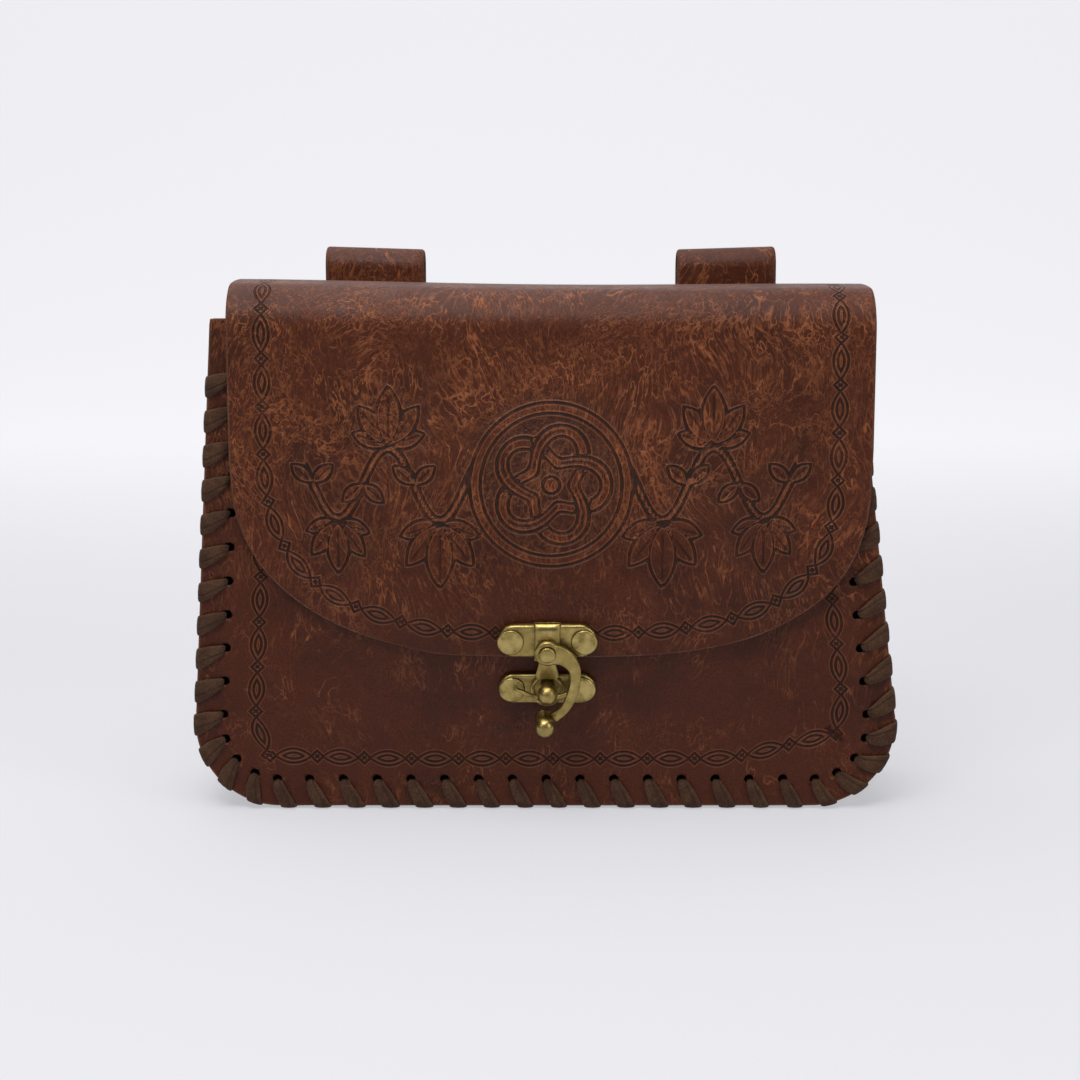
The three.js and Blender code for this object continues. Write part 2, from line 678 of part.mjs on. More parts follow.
// Upper plate on the flap, with its bridge, the tongue and ring, and the pivot pin.
function upperPlate() {
  const { length, height, thickness, draft, rivetSpacing } = UPPER_PLATE;
  const bar = barShape(length, height, PLATE_SPACING);
  const base = toSolid(plate(bar, UPPER_LEVEL, thickness, draft, { x: 0, y: PLATE_SPACING }));
  const top = PLATE_SPACING + height / 2;
  const foot = PIVOT_UP - HUB_RADIUS;
  const bridge = new THREE.Shape([
    new THREE.Vector2(-BRIDGE.width / 2, foot),
    new THREE.Vector2(BRIDGE.width / 2, foot),
    new THREE.Vector2(BRIDGE.width / 2, top),
    new THREE.Vector2(-BRIDGE.width / 2, top),
  ]);
  const tongue = new THREE.Shape();
  tongue.moveTo(-TONGUE.neck / 2, foot + 1);
  tongue.lineTo(-TONGUE.neck / 2, foot - 1);
  const shoulder = TONGUE.ringUp + TONGUE.ringOuter * 0.7;
  tongue.quadraticCurveTo(-TONGUE.neck / 2, shoulder + 1.5, -TONGUE.ringOuter * 0.9, shoulder);
  tongue.lineTo(TONGUE.ringOuter * 0.9, shoulder);
  tongue.quadraticCurveTo(TONGUE.neck / 2, shoulder + 1.5, TONGUE.neck / 2, foot - 1);
  tongue.lineTo(TONGUE.neck / 2, foot + 1);
  tongue.closePath();
  const centre = { x: 0, y: PLATE_SPACING };
  const body = joined([
    base,
    toSolid(plate(bridge, UPPER_LEVEL, BRIDGE.thickness, BRIDGE.draft, { x: 0, y: foot + 4 })),
    toSolid(plate(tongue, RING_LEVEL, TONGUE.thickness, 0, centre)),
    pin(TONGUE.ringOuter, 0, TONGUE.ringUp, RING_LEVEL, RING_LEVEL + TONGUE.thickness, 16),
    pin(PIVOT.radius, 0, PIVOT_UP, UPPER_LEVEL + 1, pivotHeadLevel() + 0.2, 12),
    pin(PIVOT.head, 0, PIVOT_UP, pivotHeadLevel(), pivotHeadLevel() + PIVOT.headHeight, 12),
  ]);
  return without(body, [
    pin(TONGUE.ringInner, 0, TONGUE.ringUp, RING_LEVEL - 1, RING_LEVEL + TONGUE.thickness + 1, 16),
    ...plateHoles(rivetSpacing, PLATE_SPACING),
  ]);
}

// Level of the underside of the pivot pin's head, above the arm.
function pivotHeadLevel() {
  return ARM_LEVEL + ARM_THICKNESS + GAP;
}

// The arm's curved band, from its centre line and the widths along it.
function armBand() {
  const line = new THREE.CatmullRomCurve3(
    ARM_LINE.map((row) => new THREE.Vector3(row.across, row.up, row.width)),
  );
  const steps = 11;
  const left = [];
  const right = [];
  for (let i = 0; i <= steps; i += 1) {
    const at = line.getPoint(i / steps);
    const ahead = line.getTangent(i / steps);
    const side = new THREE.Vector2(-ahead.y, ahead.x).normalize().multiplyScalar(at.z / 2);
    left.push(new THREE.Vector2(at.x + side.x, at.y + side.y));
    right.push(new THREE.Vector2(at.x - side.x, at.y - side.y));
  }
  return new THREE.Shape([...left, ...right.reverse()]);
}

// The prong that hooks behind the ball: an arc about the pivot.
function prongShape() {
  const shape = new THREE.Shape();
  const start = degToRad(PRONG.tipAngle - 90);
  const end = degToRad(PRONG.rootAngle - 90);
  shape.absarc(0, PIVOT_UP, PRONG.radius + PRONG.width / 2, start, end);
  shape.absarc(0, PIVOT_UP, PRONG.radius - PRONG.width / 2, end, start, true);
  shape.closePath();
  return shape;
}

// Swing arm: hub, curved band, prong and knob, with a bore for the pivot pin.
function swingArm() {
  const top = ARM_LEVEL + ARM_THICKNESS;
  const centre = { x: 0, y: 0 };
  const body = joined([
    pin(HUB_RADIUS, 0, PIVOT_UP, ARM_LEVEL, top, 14),
    toSolid(plate(armBand(), ARM_LEVEL, ARM_THICKNESS, 0, centre)),
    toSolid(plate(prongShape(), ARM_LEVEL, PRONG.thickness, 0, centre)),
    pin(KNOB.base, KNOB.across, KNOB.up, ARM_LEVEL, top, 10),
    pin(KNOB.stem, KNOB.across, KNOB.up, ARM_LEVEL + 0.5, KNOB.ballLevel, 10),
    ball(KNOB.ball, KNOB.across, KNOB.up, KNOB.ballLevel),
  ]);
  return without(body, [
    pin(PIVOT.radius + PIVOT.play, 0, PIVOT_UP, ARM_LEVEL - 1, top + 1, 12),
  ]);
}

const leather = new THREE.MeshStandardMaterial({ color: 0x5a3227, roughness: 0.5, metalness: 0 });
const suede = new THREE.MeshStandardMaterial({ color: 0x46382c, roughness: 0.9, metalness: 0 });
const brass = new THREE.MeshStandardMaterial({ color: 0x8f7d45, roughness: 0.4, metalness: 1 });

// A named mesh, placed in a group.
function add(parent, name, shape, material) {
  const geometry = shape instanceof THREE.BufferGeometry ? shape : toGeometry(shape);
  const mesh = new THREE.Mesh(geometry, material);
  mesh.name = name;
  parent.add(mesh);
  return mesh;
}

const group = new THREE.Group();
group.name = 'belt_pouch';
group.add(CLASP);

add(group, 'front_panel', frontPanel(), leather);
add(group, 'gusset', gusset(), leather);
add(group, 'back_and_flap', backAndFlap(), leather);
add(group, 'front_lacing', lacing(-1), suede);
add(group, 'back_lacing', lacing(1), suede);

loopCentres().forEach((x, i) => {
  const side = ['left', 'right'][i];
  add(group, `belt_loop_${side}`, beltLoop(x), leather);
  loopRivetPlaces(x).forEach((place, j) => {
    const outer = GAP + 2 * LOOP_STRAP;
    const mesh = add(group, `loop_rivet_${side}_${j + 1}`, rivet(outer, -WALL, true), brass);
    mesh.position.copy(place);
  });
});

add(CLASP, 'lower_plate', lowerPlate(), brass);
add(CLASP, 'upper_plate', upperPlate(), brass);
add(CLASP, 'swing_arm', swingArm(), brass);
[-1, 1].forEach((side) => {
  const word = side < 0 ? 'left' : 'right';
  const upper = rivet(UPPER_LEVEL + UPPER_PLATE.thickness, GAP + 0.2, false);
  const upperMesh = add(CLASP, `upper_rivet_${word}`, upper, brass);
  upperMesh.position.set((side * UPPER_PLATE.rivetSpacing) / 2, PLATE_SPACING, 0);
  upperMesh.rotation.x = Math.PI / 2;
  const lower = rivet(GAP + LOWER_PLATE.thickness, -WALL, true);
  const lowerMesh = add(CLASP, `lower_rivet_${word}`, lower, brass);
  lowerMesh.position.set((side * LOWER_PLATE.rivetSpacing) / 2, 0, 0);
  lowerMesh.rotation.x = Math.PI / 2;
});

// The origin is below the middle of the whole pouch, level with its lowest stitches.
group.updateMatrixWorld(true);
const box = new THREE.Box3().setFromObject(group, true);
const middle = box.getCenter(new THREE.Vector3());
group.position.set(-middle.x, -middle.y, -box.min.z);

export default group;
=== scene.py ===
"""Medieval belt pouch: a laced leather body, a tooled flap, two belt loops and a brass swing clasp."""

import json
import logging
import math
from dataclasses import dataclass, field
from enum import Enum
from typing import Callable, Optional, Sequence

import bpy
import numpy as np
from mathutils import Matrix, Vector

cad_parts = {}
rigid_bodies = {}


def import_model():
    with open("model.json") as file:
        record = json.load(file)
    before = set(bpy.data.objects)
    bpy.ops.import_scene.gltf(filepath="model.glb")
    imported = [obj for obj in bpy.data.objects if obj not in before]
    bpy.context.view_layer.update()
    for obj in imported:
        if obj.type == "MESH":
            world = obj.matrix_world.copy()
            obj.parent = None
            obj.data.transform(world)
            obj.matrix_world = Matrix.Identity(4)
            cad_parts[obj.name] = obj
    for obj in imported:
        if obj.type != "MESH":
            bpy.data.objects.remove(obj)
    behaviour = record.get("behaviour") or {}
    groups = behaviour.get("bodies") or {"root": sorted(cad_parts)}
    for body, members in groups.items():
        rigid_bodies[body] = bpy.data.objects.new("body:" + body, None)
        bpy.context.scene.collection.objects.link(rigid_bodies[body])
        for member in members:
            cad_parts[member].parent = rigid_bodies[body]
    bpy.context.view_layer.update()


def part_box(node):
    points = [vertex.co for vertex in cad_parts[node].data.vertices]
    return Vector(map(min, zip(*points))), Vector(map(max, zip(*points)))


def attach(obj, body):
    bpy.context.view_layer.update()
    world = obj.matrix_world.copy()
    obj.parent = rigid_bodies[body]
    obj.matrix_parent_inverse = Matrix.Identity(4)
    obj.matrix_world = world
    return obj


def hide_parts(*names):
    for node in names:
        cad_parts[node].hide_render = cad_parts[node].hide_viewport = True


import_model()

MM = 0.001
TINY = 1e-9
NOWHERE = 90.0
Array = np.ndarray


def smooth(value: Array, low: float, high: float) -> Array:
    """Soft step: 0 below low, 1 above high, 3t² − 2t³ between, with t the share of the way."""
    share = np.clip((np.asarray(value, float) - low) / (high - low), 0.0, 1.0)
    return share * share * (3.0 - 2.0 * share)


def linear(code: str) -> tuple[float, float, float, float]:
    """An sRGB hex colour as linear light, with an alpha of 1."""
    parts = [int(code.lstrip("#")[i:i + 2], 16) / 255.0 for i in (0, 2, 4)]
    red, green, blue = (p / 12.92 if p <= 0.04045 else ((p + 0.055) / 1.055) ** 2.4 for p in parts)
    return red, green, blue, 1.0


def spline(stops: Array, count: int) -> Array:
    """A smooth curve through rows of values.

    Args:
        stops: One row for each stop, any number of columns.
        count: How many rows to return, evenly spread over the stops.
    Returns:
        Rows on the Catmull-Rom curve: half of (2b + (c−a)t + (2a−5b+4c−d)t² + (3b−a−3c+d)t³).
    """
    stops = np.asarray(stops, float)
    padded = np.vstack([2 * stops[0] - stops[1], stops, 2 * stops[-1] - stops[-2]])
    where = np.linspace(0.0, len(stops) - 1.0, count)
    first = np.minimum(where.astype(int), len(stops) - 2)
    t = (where - first)[:, None]
    a, b, c, d = (padded[first + i] for i in range(4))
    return 0.5 * (2 * b + (c - a) * t + (2 * a - 5 * b + 4 * c - d) * t**2 + (3 * b - a - 3 * c + d) * t**3)


def circle(count: int) -> Array:
    """Angles of points spread evenly round a full turn."""
    return np.linspace(0, 2 * math.pi, count + 1)[:-1]


def rounded(turn: Array, wide: float, high: float) -> tuple[Array, Array]:
    """Cosine and sine drawn towards ±1 by powers below 1: a round section squared off."""
    cos, sin = np.cos(turn), np.sin(turn)
    return np.sign(cos) * np.abs(cos) ** wide, np.sign(sin) * np.abs(sin) ** high


def unit(vectors: Array) -> Array:
    """Vectors along the last axis, brought to a length of 1."""
    return vectors / (np.linalg.norm(vectors, axis=-1, keepdims=True) + TINY)


def sideways(line: Array) -> Array:
    """Unit directions to the left of a line of points in a plane."""
    along = unit(np.gradient(line, axis=0))
    return np.stack([-along[:, 1], along[:, 0]], 1)


def run_lengths(line: Array) -> Array:
    """Length along a line of points up to each of them."""
    return np.concatenate([[0.0], np.cumsum(np.hypot(*np.diff(line, axis=0).T))])


class Slot(Enum):
    """Material slots of the part."""

    LEATHER = "leather"
    LACE = "lace"
    BRASS = "brass"


@dataclass(frozen=True)
class PouchSizes:
    """Named sizes of the leather body, in millimetres; x across, z up, y to the back."""

    base_width: float = 208.0
    top_width: float = 182.4
    top_lean: float = -4.3
    panel_height: float = 141.8
    gusset_height: float = 135.5
    corner: float = 24.0
    half_depth: float = 22.8
    wall: float = 1.8
    gap: float = 0.35
    stand_off: float = 1.7
    bulge: float = 9.0
    seam: float = 10.0
    side_reach: float = 62.0
    bottom_reach: float = 60.0
    taper_start: float = 80.0
    taper_end: float = 137.0
    pitch: float = 9.93
    phase: float = -0.6
    lace_inset: float = 7.5
    hole_radius: float = 1.4
    first_stitch: float = 6.5
    last_stitch: float = 15.0
    flap_width: float = 182.5
    flap_shift: float = 0.75
    arch_top: float = 151.8
    arch_drop: float = 1.4
    back_bend: float = 14.0
    front_bend: float = 12.5
    crown_angle: float = math.radians(4.0)
    flap_tip: float = 46.4
    flap_shoulder: float = 104.8
    left_roundness: float = 2.6
    right_roundness: float = 3.0
    rim: float = 0.55
    gusset_rim: float = 0.2
    punch_reach: float = 3.2
    middle: float = 0.9
    dent: float = 0.32
    dent_in: float = 2.0
    dent_spread: float = 14.0
    dent_limit: float = 120.0
    arch_sag: float = 0.9
    settle: float = 16.0

    @property
    def flap_left(self) -> float:
        """Place of the flap's left edge."""
        return self.flap_shift - self.flap_width / 2


SIZES = PouchSizes()


@dataclass(frozen=True)
class FlapWave:
    """A soft wave of the flap's free edge: place across, half-width, lift and height."""

    x: float
    reach: float
    lift: float
    height: float


WAVES = (FlapWave(-31.0, 15.0, 2.2, 34.0), FlapWave(58.0, 26.0, 0.9, 26.0))


class SideLine:
    """One of the two leaning side lines of the front view."""

    def __init__(self, side: int, sizes: PouchSizes) -> None:
        """Sets the line from its foot at the bottom and its head at the panel's height."""
        self.foot = side * sizes.base_width / 2.0
        head = sizes.top_lean + side * sizes.top_width / 2.0
        up = np.array([head - self.foot, sizes.panel_height])
        self.up = up / np.hypot(*up)
        self.outward = np.array([side * self.up[1], -side * self.up[0]])
        reach = self.foot * self.outward[0] - sizes.corner
        self.centre = (reach - sizes.corner * self.outward[1]) / self.outward[0]

    def inside(self, x: Array, z: Array) -> Array:
        """Distance inwards from the line."""
        return (self.foot - x) * self.outward[0] - z * self.outward[1]

    def at(self, z: Array) -> Array:
        """Place of the line at a height."""
        return self.foot + self.up[0] / self.up[1] * z


class Outline:
    """Outline of the panels: two side lines, a bottom line and two round corners."""

    def __init__(self, sizes: PouchSizes = SIZES) -> None:
        """Samples the U of the seam evenly, down the left, along the bottom, up the right."""
        self.sizes = sizes
        self.left = SideLine(-1, sizes)
        self.right = SideLine(1, sizes)
        down = 1.5 * math.pi
        start, end = (math.atan2(line.outward[1], line.outward[0]) for line in (self.left, self.right))
        steps = 90
        turns = (np.linspace(start, down, steps), np.linspace(down, 2 * math.pi + end, steps))
        arcs = [
            np.stack([line.centre + sizes.corner * np.cos(turn), sizes.corner * (1 + np.sin(turn))], 1)
            for line, turn in zip((self.left, self.right), turns)
        ]
        top = sizes.panel_height
        self.points = np.vstack([[(self.left.at(top), top)], *arcs, [(self.right.at(top), top)]])
        self.lengths = run_lengths(self.points)
        self.total = float(self.lengths[-1])
        self.middle = self.lengths[steps] - self.left.centre

    def station(self, length: Array) -> tuple[Array, Array, Array]:
        """Points of the seam edge at lengths along it, with forward and outward directions."""
        length = np.clip(length, 0.0, self.total)
        behind, here, ahead = (
            np.stack([np.interp(length + step, self.lengths, self.points[:, i]) for i in (0, 1)], -1)
            for step in (-0.4, 0.0, 0.4)
        )
        forward = unit(ahead - behind)
        return here, forward, np.stack([forward[..., 1], -forward[..., 0]], -1)

    def stitches(self) -> Array:
        """Lengths along the seam edge at which the holes of a panel lie."""
        sizes = self.sizes
        origin = self.middle + sizes.phase
        first = math.ceil((sizes.first_stitch - origin) / sizes.pitch)
        last = math.floor((self.total - sizes.last_stitch - origin) / sizes.pitch)
        return origin + np.arange(first, last + 1) * sizes.pitch

    def holes(self, depth: float) -> Array:
        """Centres of the lace holes of a panel, at a depth."""
        spots, _, outward = self.station(self.stitches())
        spots = spots - self.sizes.lace_inset * outward
        return np.stack([spots[:, 0], np.full(len(spots), depth), spots[:, 1]], 1)

    def bound(self, line: SideLine, z: Array) -> Array:
        """Place of the outline on one side at a height, round corner included."""
        z = np.asarray(z, float)
        corner = self.sizes.corner
        side = np.sign(line.foot)
        dip = np.clip(corner - z, 0.0, corner)
        arc = line.centre + side * np.sqrt(corner**2 - dip**2)
        tangent = corner + corner * line.outward[1]
        return np.where(z < tangent, arc, line.at(z))


OUTLINE = Outline()


class Surface:
    """Depths of the leather faces, as functions of the place in the front view."""

    def __init__(self, outline: Outline = OUTLINE, sizes: PouchSizes = SIZES) -> None:
        """Keeps the outline and works out the section over the top."""
        self.outline = outline
        self.sizes = sizes
        depth = 2 * sizes.half_depth + sizes.stand_off + sizes.wall
        crown_span = 1.0 - math.sin(sizes.crown_angle)
        flat = depth - (sizes.back_bend + sizes.front_bend) * crown_span
        self.crown = flat / (2 * math.sin(sizes.crown_angle))
        rise = sizes.back_bend * math.cos(sizes.crown_angle) + self.crown * (1 - math.cos(sizes.crown_angle))
        self.arch_foot = sizes.arch_top - rise

    def fullness(self, x: Array, z: Array) -> Array:
        """Share of the full bulge: soft steps in from both sides and the bottom, fading upwards."""
        s = self.sizes
        left = smooth(self.outline.left.inside(x, z), s.seam, s.seam + s.side_reach)
        right = smooth(self.outline.right.inside(x, z), s.seam, s.seam + s.side_reach)
        rise = smooth(z, s.seam, s.seam + s.bottom_reach)
        return left * right * rise * (1 - smooth(z, s.taper_start, s.taper_end))

    def panel(self, x: Array, z: Array) -> Array:
        """Depth of the front panel's outer face."""
        return -self.sizes.half_depth - self.sizes.bulge * self.fullness(x, z)

    def flap_edge(self, x: Array) -> Array:
        """Height of the flap's edge: shoulder − drop·(1 − share^n)^(1/n), n for each half."""
        s = self.sizes
        n = np.where(x < s.flap_shift, s.left_roundness, s.right_roundness)
        share = np.clip(np.abs(x - s.flap_shift) / (s.flap_width / 2), 0, 1)
        return s.flap_shoulder - (s.flap_shoulder - s.flap_tip) * (1 - share**n) ** (1 / n)

    def lift(self, x: Array, z: Array) -> Array:
        """Lift of the flap's free edge: sum of lift·cos²(π/2·across), dying out upwards."""
        edge = self.flap_edge(x)
        total = np.zeros(np.broadcast(x, z).shape)
        for wave in WAVES:
            across = np.clip((x - wave.x) / wave.reach, -1, 1)
            fade = 1 - smooth((z - edge) / wave.height, 0.0, 1.0)
            total = total + wave.lift * np.cos(across * math.pi / 2) ** 2 * fade
        return total

    def flap(self, x: Array, z: Array) -> Array:
        """Depth of the hanging flap's outer face."""
        s = self.sizes
        near = smooth(self.outline.left.inside(x, z), s.seam, 3 * s.seam)
        near = near * smooth(self.outline.right.inside(x, z), s.seam, 3 * s.seam)
        near = near * (1 - smooth(z, s.taper_start, s.taper_end))
        gap = s.stand_off + (s.gap - s.stand_off) * near
        return self.panel(x, z) - gap - s.wall - self.lift(x, z)

    def section(self, count: int) -> Array:
        """Rows (y, z, angle, share of the back bend) over the top, from the back to the front."""
        s = self.sizes
        bend = math.pi / 2 - s.crown_angle
        rows = []
        y, z, angle = s.half_depth, self.arch_foot, 0.0
        for radius, turn in ((s.back_bend, bend), (self.crown, 2 * s.crown_angle), (s.front_bend, bend)):
            steps = max(4, round(count * (0.2 if turn < 1 else 0.4)))
            turned = np.arange(steps + 1) / steps * turn
            rows.append(np.stack([
                y - radius * (math.cos(angle) - np.cos(angle + turned)),
                z + radius * (np.sin(angle + turned) - math.sin(angle)),
                angle + turned,
                np.clip((angle + turned) / bend, 0, 1),
            ], 1)[:-1])
            y, z = (y - radius * (math.cos(angle) - math.cos(angle + turn)),
                    z + radius * (math.sin(angle + turn) - math.sin(angle)))
            angle += turn
        rows.append(np.array([[y, z, angle, 1.0]]))
        return np.vstack(rows)


SURFACE = Surface()


@dataclass
class Patch:
    """A bit of mesh in millimetres: points, faces, a material for each face and corner maps."""

    points: Array
    faces: Array
    kinds: Array
    maps: dict = field(default_factory=dict)


def grid_patch(points: Array, closed: tuple[bool, bool] = (False, False), kind: int = 0,
               maps: Optional[dict] = None, flip: bool = False) -> Patch:
    """Faces between neighbouring points of a grid.

    Args:
        points: Rows by columns by 3.
        closed: Whether the last row joins the first, and the last column the first.
        kind: Material index of all its faces.
        maps: Name and rows by columns by 2 values, for the corner maps.
        flip: Turns the faces over.
    Returns:
        The patch, with face corners (r, c), (r, c+1), (r+1, c+1), (r+1, c).
    """
    rows, columns = points.shape[:2]
    index = np.arange(rows * columns).reshape(rows, columns)
    if closed[0]:
        index = np.vstack([index, index[:1]])
    if closed[1]:
        index = np.hstack([index, index[:, :1]])
    faces = np.stack([index[:-1, :-1], index[:-1, 1:], index[1:, 1:], index[1:, :-1]], -1).reshape(-1, 4)
    if flip:
        faces = faces[:, ::-1]
    flat = {name: value.reshape(-1, 2) for name, value in (maps or {}).items()}
    return Patch(points.reshape(-1, 3), faces, np.full(len(faces), kind), flat)


def cap_patch(ring: Array, flip: bool) -> Patch:
    """A fan of triangles from the middle of a closed ring."""
    count = len(ring)
    centre = ring.mean(axis=0)[None]
    around = np.arange(count)
    faces = np.stack([around, (around + 1) % count, np.full(count, count), np.full(count, count)], 1)
    if flip:
        faces = faces[:, [1, 0, 2, 3]]
    return Patch(np.vstack([ring, centre]), faces, np.zeros(count, int))


def rows_patch(points: Array, flip: bool = False, ends: bool = True,
               maps: Optional[dict] = None) -> list[Patch]:
    """A tube from closed rings, with a fan over each end."""
    patches = [grid_patch(points, (False, True), maps=maps, flip=flip)]
    if ends:
        patches += [cap_patch(points[0], not flip), cap_patch(points[-1], flip)]
    return patches


class Placer:
    """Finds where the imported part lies, so that every piece is made in the part's own frame."""

    def __init__(self) -> None:
        """Works out the shift from three boxes of the frame."""
        loops = [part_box(name) for name in ("belt_loop_left", "belt_loop_right")]
        middle = sum((lo[0] + hi[0]) / 2 for lo, hi in loops) / 2
        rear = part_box("back_and_flap")[1][1]
        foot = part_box("front_panel")[0][2]
        self.shift = np.array([middle / MM - SIZES.middle, rear / MM - SIZES.half_depth, foot / MM])

    def move(self, points: Array) -> Array:
        """Points of the working frame as metres of the part's frame."""
        return (points + self.shift) * MM


PLACER = Placer()


def build_object(name: str, patches: Sequence[Patch], materials: Sequence[bpy.types.Material],
                 placed: bool = False, soft: bool = True) -> bpy.types.Object:
    """One object from patches.

    Args:
        name: Name of the object.
        patches: Bits of mesh, joined in order.
        materials: Materials in the order of the patches' kinds.
        placed: True when the points are already millimetres of the part's frame.
        soft: Smooth shading.
    Returns:
        The linked object, at the origin and unscaled.
    """
    name = name.replace(" ", "_")
    offsets = np.cumsum([0] + [len(p.points) for p in patches])
    points = np.vstack([p.points for p in patches])
    faces = np.vstack([p.faces + o for p, o in zip(patches, offsets)])
    kinds = np.concatenate([p.kinds for p in patches])
    points = points * MM if placed else PLACER.move(points)
    triangle = faces[:, 2] == faces[:, 3]
    totals = np.where(triangle, 3, 4)
    keep = np.ones(faces.shape, bool)
    keep[triangle, 3] = False
    corners = faces[keep]
    mesh = bpy.data.meshes.new(name)
    mesh.vertices.add(len(points))
    mesh.vertices.foreach_set("co", points.astype(np.float32).ravel())
    mesh.loops.add(len(corners))
    mesh.loops.foreach_set("vertex_index", corners.astype(np.int32))
    mesh.polygons.add(len(faces))
    mesh.polygons.foreach_set("loop_start", np.concatenate([[0], np.cumsum(totals)[:-1]]).astype(np.int32))
    mesh.polygons.foreach_set("material_index", kinds.astype(np.int32))
    mesh.polygons.foreach_set("use_smooth", np.full(len(faces), soft))
    for key in sorted({key for p in patches for key in p.maps}):
        values = np.vstack([p.maps.get(key, np.full((len(p.points), 2), NOWHERE)) for p in patches])
        layer = mesh.uv_layers.new(name=key)
        layer.data.foreach_set("uv", values[corners].astype(np.float32).ravel())
    for material in materials:
        mesh.materials.append(material)
    mesh.update(calc_edges=True)
    mesh.validate()
    built = bpy.data.objects.new(name, mesh)
    bpy.context.scene.collection.objects.link(built)
    return built


def bake(built: bpy.types.Object) -> None:
    """Turns the object's modifiers into mesh."""
    graph = bpy.context.evaluated_depsgraph_get()
    mesh = bpy.data.meshes.new_from_object(built.evaluated_get(graph), preserve_all_data_layers=True,
                                           depsgraph=graph)
    built.modifiers.clear()
    built.data = mesh


def sheet_patches(points: Array, wall: float, roll: float, maps: Optional[dict] = None,
                  flip: bool = False) -> list[Patch]:
    """A sheet of leather from its outer face: grain side, flesh side and a rounded cut edge.

    Args:
        points: Rows by columns by 3 of the outer face.
        wall: Thickness.
        roll: Radius of the two soft corners of the cut edge, which swell beyond the face's border.
        maps: Corner maps of the grain side.
        flip: Set when rows × columns point inwards.
    Returns:
        Three patches with the kinds 0 (grain), 1 (flesh) and 2 (cut).
    """
    facing = -1 if flip else 1
    normal = facing * unit(np.cross(np.gradient(points, axis=1), np.gradient(points, axis=0)))
    rows, columns = points.shape[:2]
    index = np.arange(rows * columns).reshape(rows, columns)
    border = np.concatenate([index[0], index[1:, -1], index[-1, -2::-1], index[-2:0:-1, 0]])
    edge, up = points.reshape(-1, 3)[border], normal.reshape(-1, 3)[border]
    ahead = unit(np.roll(edge, -1, axis=0) - edge)
    outward = facing * unit(np.cross(ahead + np.roll(ahead, 1, axis=0), up))
    turn = np.linspace(0, math.pi / 2, 4)
    out = roll * np.concatenate([np.sin(turn), np.sin(turn[::-1])])
    deep = np.concatenate([roll * (1 - np.cos(turn)), wall - roll * (1 - np.cos(turn[::-1]))])
    rings = edge[None] + out[:, None, None] * outward[None] - deep[:, None, None] * up[None]
    return [
        grid_patch(points, maps=maps, flip=flip),
        grid_patch(points - wall * normal, kind=1, flip=not flip),
        grid_patch(rings, (False, True), kind=2, flip=not flip),
    ]


def weld(built: bpy.types.Object) -> None:
    """Joins points that lie together."""
    joined = built.modifiers.new("weld", "WELD")
    joined.merge_threshold = 0.002 * MM
    bake(built)


def punch(built: bpy.types.Object, centres: Array, axes: Array) -> None:
    """Cuts the round lace holes through an object.

    Args:
        built: The object to cut.
        centres: Hole centres in the working frame, one row each.
        axes: Unit directions of the holes, or one for all.
    """
    turn = circle(16)
    patches = []
    for centre, axis in zip(centres, np.broadcast_to(axes, centres.shape)):
        first = unit(np.cross(axis, [0.31, 0.17, 0.93]))
        second = np.cross(axis, first)
        ring = SIZES.hole_radius * (np.cos(turn)[:, None] * first + np.sin(turn)[:, None] * second)
        reach = SIZES.punch_reach * axis
        patches += rows_patch(np.stack([centre - reach + ring, centre + reach + ring]))
    cutter = build_object(built.name + " holes", patches, [built.data.materials[2]], soft=False)
    weld(cutter)
    weld(built)
    cut = built.modifiers.new("holes", "BOOLEAN")
    cut.object = cutter
    cut.operation = "DIFFERENCE"
    cut.solver = "MANIFOLD"
    cut.material_mode = "TRANSFER"
    bake(built)
    bpy.data.objects.remove(cutter)


def finish(built: bpy.types.Object, node: str, body: str = "root") -> None:
    """Ties an object to its body and the piece of the part that it stands for."""
    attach(built, body)
    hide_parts(node)


@dataclass(frozen=True)
class BorderSizes:
    """Sizes of the tooled chain of squares and pointed ovals, in millimetres."""

    pitch: float = 13.6
    square: float = 1.75
    dot: float = 0.22
    oval: tuple[float, float] = (5.15, 2.15)
    inner_oval: tuple[float, float] = (2.9, 0.9)
    flap_side: float = 9.4
    flap_bottom: float = 6.8
    left_inset: float = 16.9
    right_inset: float = 14.4
    bottom_rise: float = 13.8
    left_dip: float = 4.4
    right_dip: float = 3.5
    right_rise: float = 8.0
    left_rise: float = 0.9
    left_bend: tuple[float, float] = (12.0, 28.0)
    right_bend: tuple[float, float] = (15.0, 35.0)
    left_slope: tuple[float, float] = (40.0, 80.0)
    right_slope: tuple[float, float] = (47.0, 92.0)
    starts: tuple[float, float, float] = (14.7, -81.5, 21.2)
    stretches: tuple[float, float, float] = (1.02, 0.984, 1.007)
    line_top: float = 240.0
    back_mark: float = 300.0


BORDER = BorderSizes()


